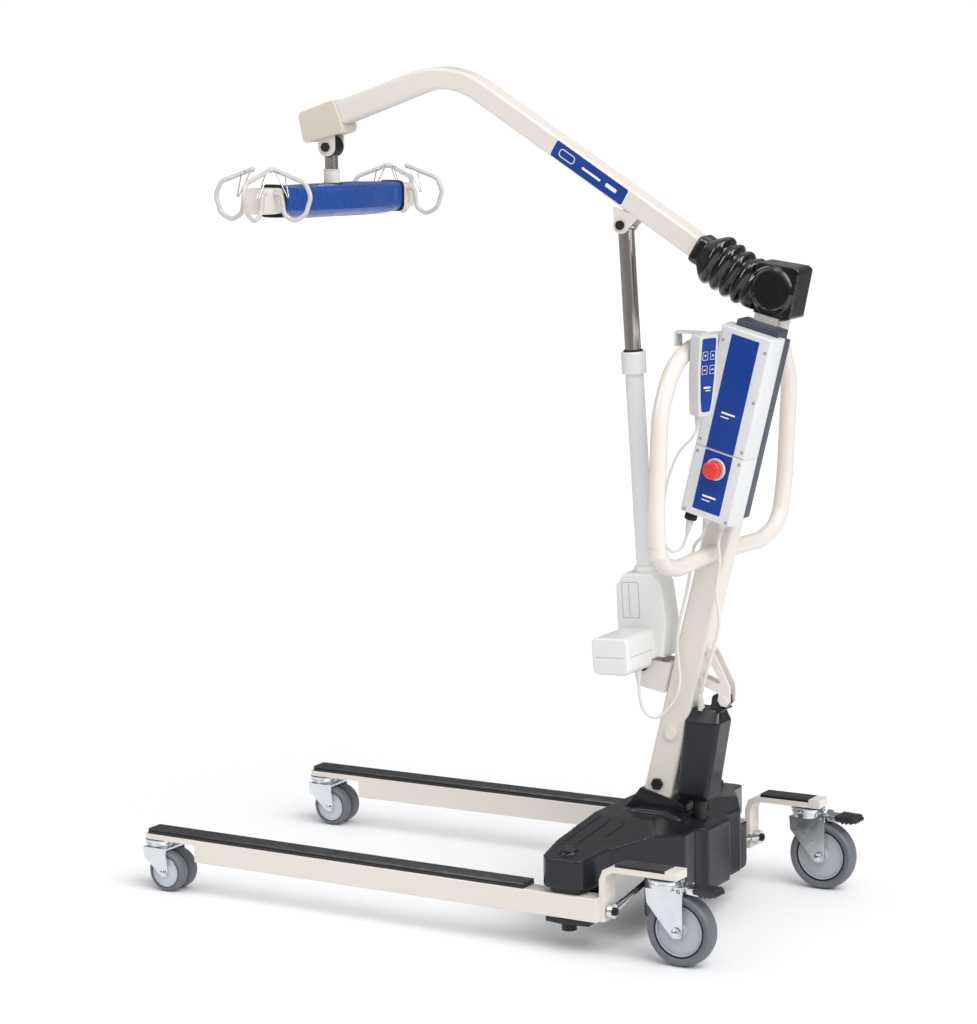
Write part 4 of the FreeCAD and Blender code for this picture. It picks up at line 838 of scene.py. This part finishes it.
# ---------------------------------------------------------------- lift actuator
def make_actuator_details():
    """Panel outline, rib and seam of the motor housing, drawn in grey as painted shade, and the collar round
    its tube.
    """
    origin = act(0, 0, 27.0)
    panel = rect(-36, -2, 84, 148, 3)
    inner = rect(-35, -3, 85, 147, 2.4)
    # painted shade: grey lines along the panel's outline and rib
    plate("motor_panel_shade_line", [panel, inner], origin, AXP, AX, 0.25, MATS["seam_shade_and_screw_grey"], "lift_actuator")
    plate("motor_panel_rib_shade", [rect(-22, -21, 86, 146)], origin, AXP, AX, 0.25, MATS["seam_shade_and_screw_grey"],
          "lift_actuator")
    # painted shade: a grey band round the housing where its halves meet
    section = outline_round([(127.2, -48.2), (127.2, 24.2), (28, 24.2), (28, -48.2)], 12, 6)
    low = [act(u, 31.0, x) for x, u in section]
    high = [act(u, 32.0, x) for x, u in section]
    n = len(section)
    faces = [*tube_faces(2, n), tuple(range(n)), tuple(range(n, 2 * n))]
    add_mesh("motor_seam_shade", low + high, faces, MATS["seam_shade_and_screw_grey"], "lift_actuator")
    lathe("tube_collar", [(16.1, 160), (20.5, 160), (20.5, 170), (19, 173), (17.5, 174), (16.1, 174),
                          (16.1, 160)], LIFT_FOOT, AX, MATS["light_plastic"], "lift_actuator")
    lathe("rod_wiper", [(14.1, 549), (17.5, 549), (17.5, 553), (15.2, 555), (14.1, 555), (14.1, 549)],
          LIFT_FOOT, AX, MATS["dark_detail"], "lift_actuator")


make_actuator_details()


# ---------------------------------------------------------------- casters and leg parts
NUT = [(6.2, 0), (6.6, 1.0), (6.6, 3.4), (5.2, 4.6), (3.0, 5.4), (0, 5.8)]


def leg_dir(x, y, z, side):
    """A direction in the leg's own axes."""
    return (on_leg(x, y, z, side) - on_leg(0, 0, 0, side)).normalized()


def make_caster_details():
    """Axle nuts, lines on the wheels, the dark ones painted shade where each tyre meets the wheel's centre,
    bearing races, brake pedals and the tie rods' stud nuts.
    """
    hub, front = REAR_HUB, FRONT_HUB
    for side_name, side in SIDES:
        for end, s in (("out", 1), ("in", -1)):
            axis = leg_dir(s, 0, 0, side)
            tag = side_name + "_" + end
            lathe("rear_nut_" + tag, NUT, on_leg(hub.x + 26 * s, hub.y, hub.z, side), axis,
                  MATS["zinc_steel"], "rear_swivel_" + side_name, 24)
            # painted shade: a near-black ring in the joint between tyre and disc
            ring("rear_line_" + tag, 46.0, 1.9, on_leg(hub.x + 13.0 * s, hub.y, hub.z, side), axis,
                 MATS["dark_detail"], "rear_wheel_" + side_name, 72, 0.45)
            ring("rear_disc_step_" + tag, 40.5, 0.8, on_leg(hub.x + 10.4 * s, hub.y, hub.z, side), axis,
                 MATS["wheel_core"], "rear_wheel_" + side_name, 64)
            lathe("front_nut_" + tag, [(r * 0.8, h * 0.7) for r, h in NUT],
                  on_leg(front.x + 33 * s, front.y, front.z, side), axis, MATS["zinc_steel"],
                  "front_swivel_" + side_name, 24)
            # painted shade: a near-black ring in the joint between tyre and blue hub
            ring("front_line_" + tag, 28.6, 0.7, on_leg(front.x + 26.0 * s, front.y, front.z, side), axis,
                 MATS["dark_detail"], "front_wheel_" + side_name, 56)
        swivel = on_leg(REAR_STEM.x, REAR_STEM.y, 0, side)
        ring("rear_race_" + side_name, 29.4, 2.0, swivel + EZ * 143.0, EZ, MATS["zinc_steel"],
             "rear_swivel_" + side_name)
        swivel = on_leg(FRONT_STEM.x, FRONT_STEM.y, 0, side)
        ring("front_race_" + side_name, 26.4, 1.7, swivel + EZ * 87.2, EZ, MATS["zinc_steel"],
             "front_swivel_" + side_name)
        make_pedal(side_name, side)
        stud = on_leg(281.8, -122.0, 78.0, side)
        lathe("tie_stud_nut_" + side_name,
              [(6.8, -6.5), (7.2, -5.5), (7.2, -2.0), (5.6, 0.0), (3, 0.8), (0, 1)], stud,
              leg_dir(0, 1, 0, side), MATS["dark_detail"], "leg_body_" + side_name, 24)


def make_pedal(side_name, side):
    """Brake pedal: folded steel arm with a ribbed, toothed black pad over it."""
    hinge_y, body = REAR_STEM.y + 35.0, "pedal_" + side_name

    def folded(name, outline, half_width, mat, bevel, replaces=()):
        x0, x1 = REAR_STEM.x - half_width, REAR_STEM.x + half_width
        boxy(name, [on_leg(x0, hinge_y + y, z, side) for y, z in outline],
             on_leg(x1, 0, 0, side) - on_leg(x0, 0, 0, side), MATS[mat], body, bevel, replaces)

    arm = [(-2.5, 130.5), (-2.5, 136.5), (2, 139.6), (34, 138.6), (50, 137.0), (50, 132), (30, 127.5)]
    folded("pedal_arm_" + side_name, arm, 15, "zinc_steel", 0.8, ("rear_pedal_" + side_name,))
    pad = [(26, 132), (24, 139.5)]
    for k in range(6):
        y = 27.0 + 6.0 * k
        pad += [(y, 140.5 - 0.25 * k), (y + 1.2, 142.2 - 0.25 * k), (y + 3.6, 142.2 - 0.25 * k),
                (y + 4.8, 140.5 - 0.25 * k)]
    pad += [(64, 138), (63.5, 131), (55, 127.5), (53, 130.5), (47, 126.5), (45, 130), (39, 126.5),
            (37, 130.5)]
    folded("pedal_pad_" + side_name, pad, 19, "grip_rubber", 0.35)
    for k in range(5):
        x = REAR_STEM.x - 16.0 + 8.0 * k
        tooth = [on_leg(x + dx, hinge_y + y, z, side) for dx, y, z in
                 ((-2.4, 62.5, 137), (2.4, 62.5, 137), (1.4, 67.0, 135.5), (-1.4, 67.0, 135.5))]
        boxy("pedal_tooth_%s_%d" % (side_name, k + 1), tooth, (0, 0, -6), MATS["grip_rubber"], body,
             0.5)


make_caster_details()


# ---------------------------------------------------------------- base cover details
def roof_z(x):
    """Height of the cover's top over an arm."""
    return 192.0 - max(0.0, abs(x) - 95.0) * 0.1234


def cover_rib(name, y, x0, x1, side):
    """A long raised bead on an arm of the cover, tapering into it at both ends."""
    verts, faces, rings, around = [], [], 14, 7
    for k in range(rings + 1):
        t = k / rings
        x = x0 + (x1 - x0) * t
        full = max(0.12, 1.0 - abs(2 * t - 1) ** 9)
        for j in range(around):
            a = math.pi * j / (around - 1)
            verts.append(Vector((side * x, y + 3.3 * full * math.cos(a),
                                 roof_z(x) - 1.2 + 3.2 * full * math.sin(a))))
    for k in range(rings):
        for j in range(around - 1):
            a = k * around + j
            faces.append((a, a + 1, a + 1 + around, a + around))
        faces.append((k * around, k * around + around, (k + 2) * around - 1, (k + 1) * around - 1))
    faces += [tuple(range(around)), tuple(range(rings * around, (rings + 1) * around))]
    add_mesh(name, verts, faces, MATS["black_cover"], "frame", 70)


def make_cover_details():
    """Three beads and a round boss on each arm of the cover."""
    for tag, side in SIDES:
        for k, (y, x0, x1) in enumerate(((-252, 90, 262), (-226, 110, 250), (-194, 120, 196))):
            cover_rib("cover_rib_%s_%d" % (tag, k + 1), y, x0, x1, side)
        lathe("cover_boss_" + tag, [(16.6, 168), (16.6, 174.2), (15.8, 175.6), (13.5, 176.2), (12.6, 175.2),
                                    (0, 175.2), (0, 168)], (side * 276, -219, 0), EZ, MATS["black_cover"],
              "frame", 48)


make_cover_details()


# ---------------------------------------------------------------- padded sleeve
PAD_X0, PAD_X1 = -238.0, 226.0


def pad_section(x):
    """Half width, top and bottom of the sleeve at a place along the bar."""
    t = (x - PAD_X0) / (PAD_X1 - PAD_X0)
    swell = math.sin(math.pi * t) ** 0.5
    low = -26.0 - 4.5 * swell - 1.5 * math.sin(3.0 * math.pi * t)
    return 24.4 + 1.4 * swell, 25.4 + 0.8 * swell, low


def signed_power(value, power):
    return math.copysign(abs(value) ** power, value)


def make_pad():
    """The sleeve over the spreader bar: boxy above, fuller below, with a black edging at each end."""
    steps, rings, verts = 56, 60, []
    for k in range(rings + 1):
        x = PAD_X0 + 2 + (PAD_X1 - PAD_X0 - 4) * k / rings
        half, top, low = pad_section(x)
        for j in range(steps):
            a = 2 * math.pi * j / steps
            c, s = math.cos(a), math.sin(a)
            power = 0.34 if s > -0.3 else 0.46
            verts.append(on_bar(x, half * signed_power(c, power),
                                (top if s > 0 else -low) * signed_power(s, power)))
    pad = add_mesh("padded_sleeve", verts, tube_faces(rings + 1, steps), MATS["blue_vinyl"], "cradle",
                   80, replaces=("cradle_pad",))
    inflate(pad, steps, rings)
    smooth = pad.modifiers.new("round", "SUBSURF")
    smooth.levels = smooth.render_levels = 1
    apply_modifiers(pad)
    shade(pad, 80)
    for name, x in (("left", PAD_X1 - 2.5), ("right", PAD_X0 + 2.5)):
        half, top, low = pad_section(x)
        loop = []
        for j in range(28):
            a = 2 * math.pi * j / 28
            c, s = math.cos(a), math.sin(a)
            loop.append(on_bar(x, (half + 0.9) * signed_power(c, 0.36),
                               ((top if s > 0 else -low) + 0.9) * signed_power(s, 0.36)))
        closed_wire("sleeve_edging_" + name, loop, 2.4, MATS["dark_detail"], "cradle")


def inflate(pad, steps, rings):
    """Cloth pass: the vinyl is a little too big for its padding, so it swells and wrinkles."""
    last_frame, most_move, most_inwards = 20, 0.0045, 0.0006
    before = [v.co.copy() for v in pad.data.vertices]
    normals = [v.normal.copy() for v in pad.data.vertices]
    work = link("sleeve_cloth", pad.data.copy())
    group = work.vertex_groups.new(name="held")
    for k in range(rings + 1):
        edge = min(k, rings - k)
        weight = 1.0 if edge < 2 else max(0.0, 0.35 - 0.07 * edge)
        if weight:
            group.add(list(range(k * steps, (k + 1) * steps)), weight, "REPLACE")
    cloth = work.modifiers.new("cloth", "CLOTH")
    cloth.settings.quality = 6
    cloth.settings.mass = 0.25
    cloth.settings.use_pressure = True
    cloth.settings.uniform_pressure_force = 3.0
    cloth.settings.shrink_min = -0.07
    cloth.settings.shrink_max = -0.02
    cloth.settings.tension_stiffness = cloth.settings.compression_stiffness = 25
    cloth.settings.bending_stiffness = 0.15
    cloth.settings.vertex_group_mass = "held"
    cloth.settings.effector_weights.gravity = 0.0
    cloth.collision_settings.use_collision = False
    scene = bpy.context.scene
    cloth.point_cache.frame_start, cloth.point_cache.frame_end = 1, last_frame
    for number in range(1, last_frame + 1):
        scene.frame_set(number)
    deps = bpy.context.evaluated_depsgraph_get()
    after = [v.co.copy() for v in work.evaluated_get(deps).data.vertices]
    scene.frame_set(1)
    bpy.data.objects.remove(work)
    for vert, old, new, normal in zip(pad.data.vertices, before, after, normals):
        move = new - old
        if move.length > most_move:
            move *= most_move / move.length
        inwards = -move.dot(normal)
        if inwards > most_inwards:
            move += normal * (inwards - most_inwards)
        vert.co = old + move


def make_pad_patch():
    """Black patch where the post goes through the sleeve."""
    verts, n = [], 40
    rings = ((15.2, 0.0), (15.6, 2.4), (22, 2.6), (31, 1.2), (34, -0.6), (33, -2.0), (15.2, -2.0))
    for r, lift in rings:
        for k in range(n):
            a = 2 * math.pi * k / n
            x, y = r * 1.12 * math.cos(a), min(r, 14.8 + (r - 15.2) * 0.45) * math.sin(a)
            drop = -0.020 * y * y * max(0.0, (r - 17) / 17)
            verts.append(on_bar(x, y, 25.4 + lift + drop))
    add_mesh("sleeve_patch", verts, tube_faces(len(rings), n, True), MATS["dark_detail"], "cradle",
             50)


make_pad()
make_pad_patch()


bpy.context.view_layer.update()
import json
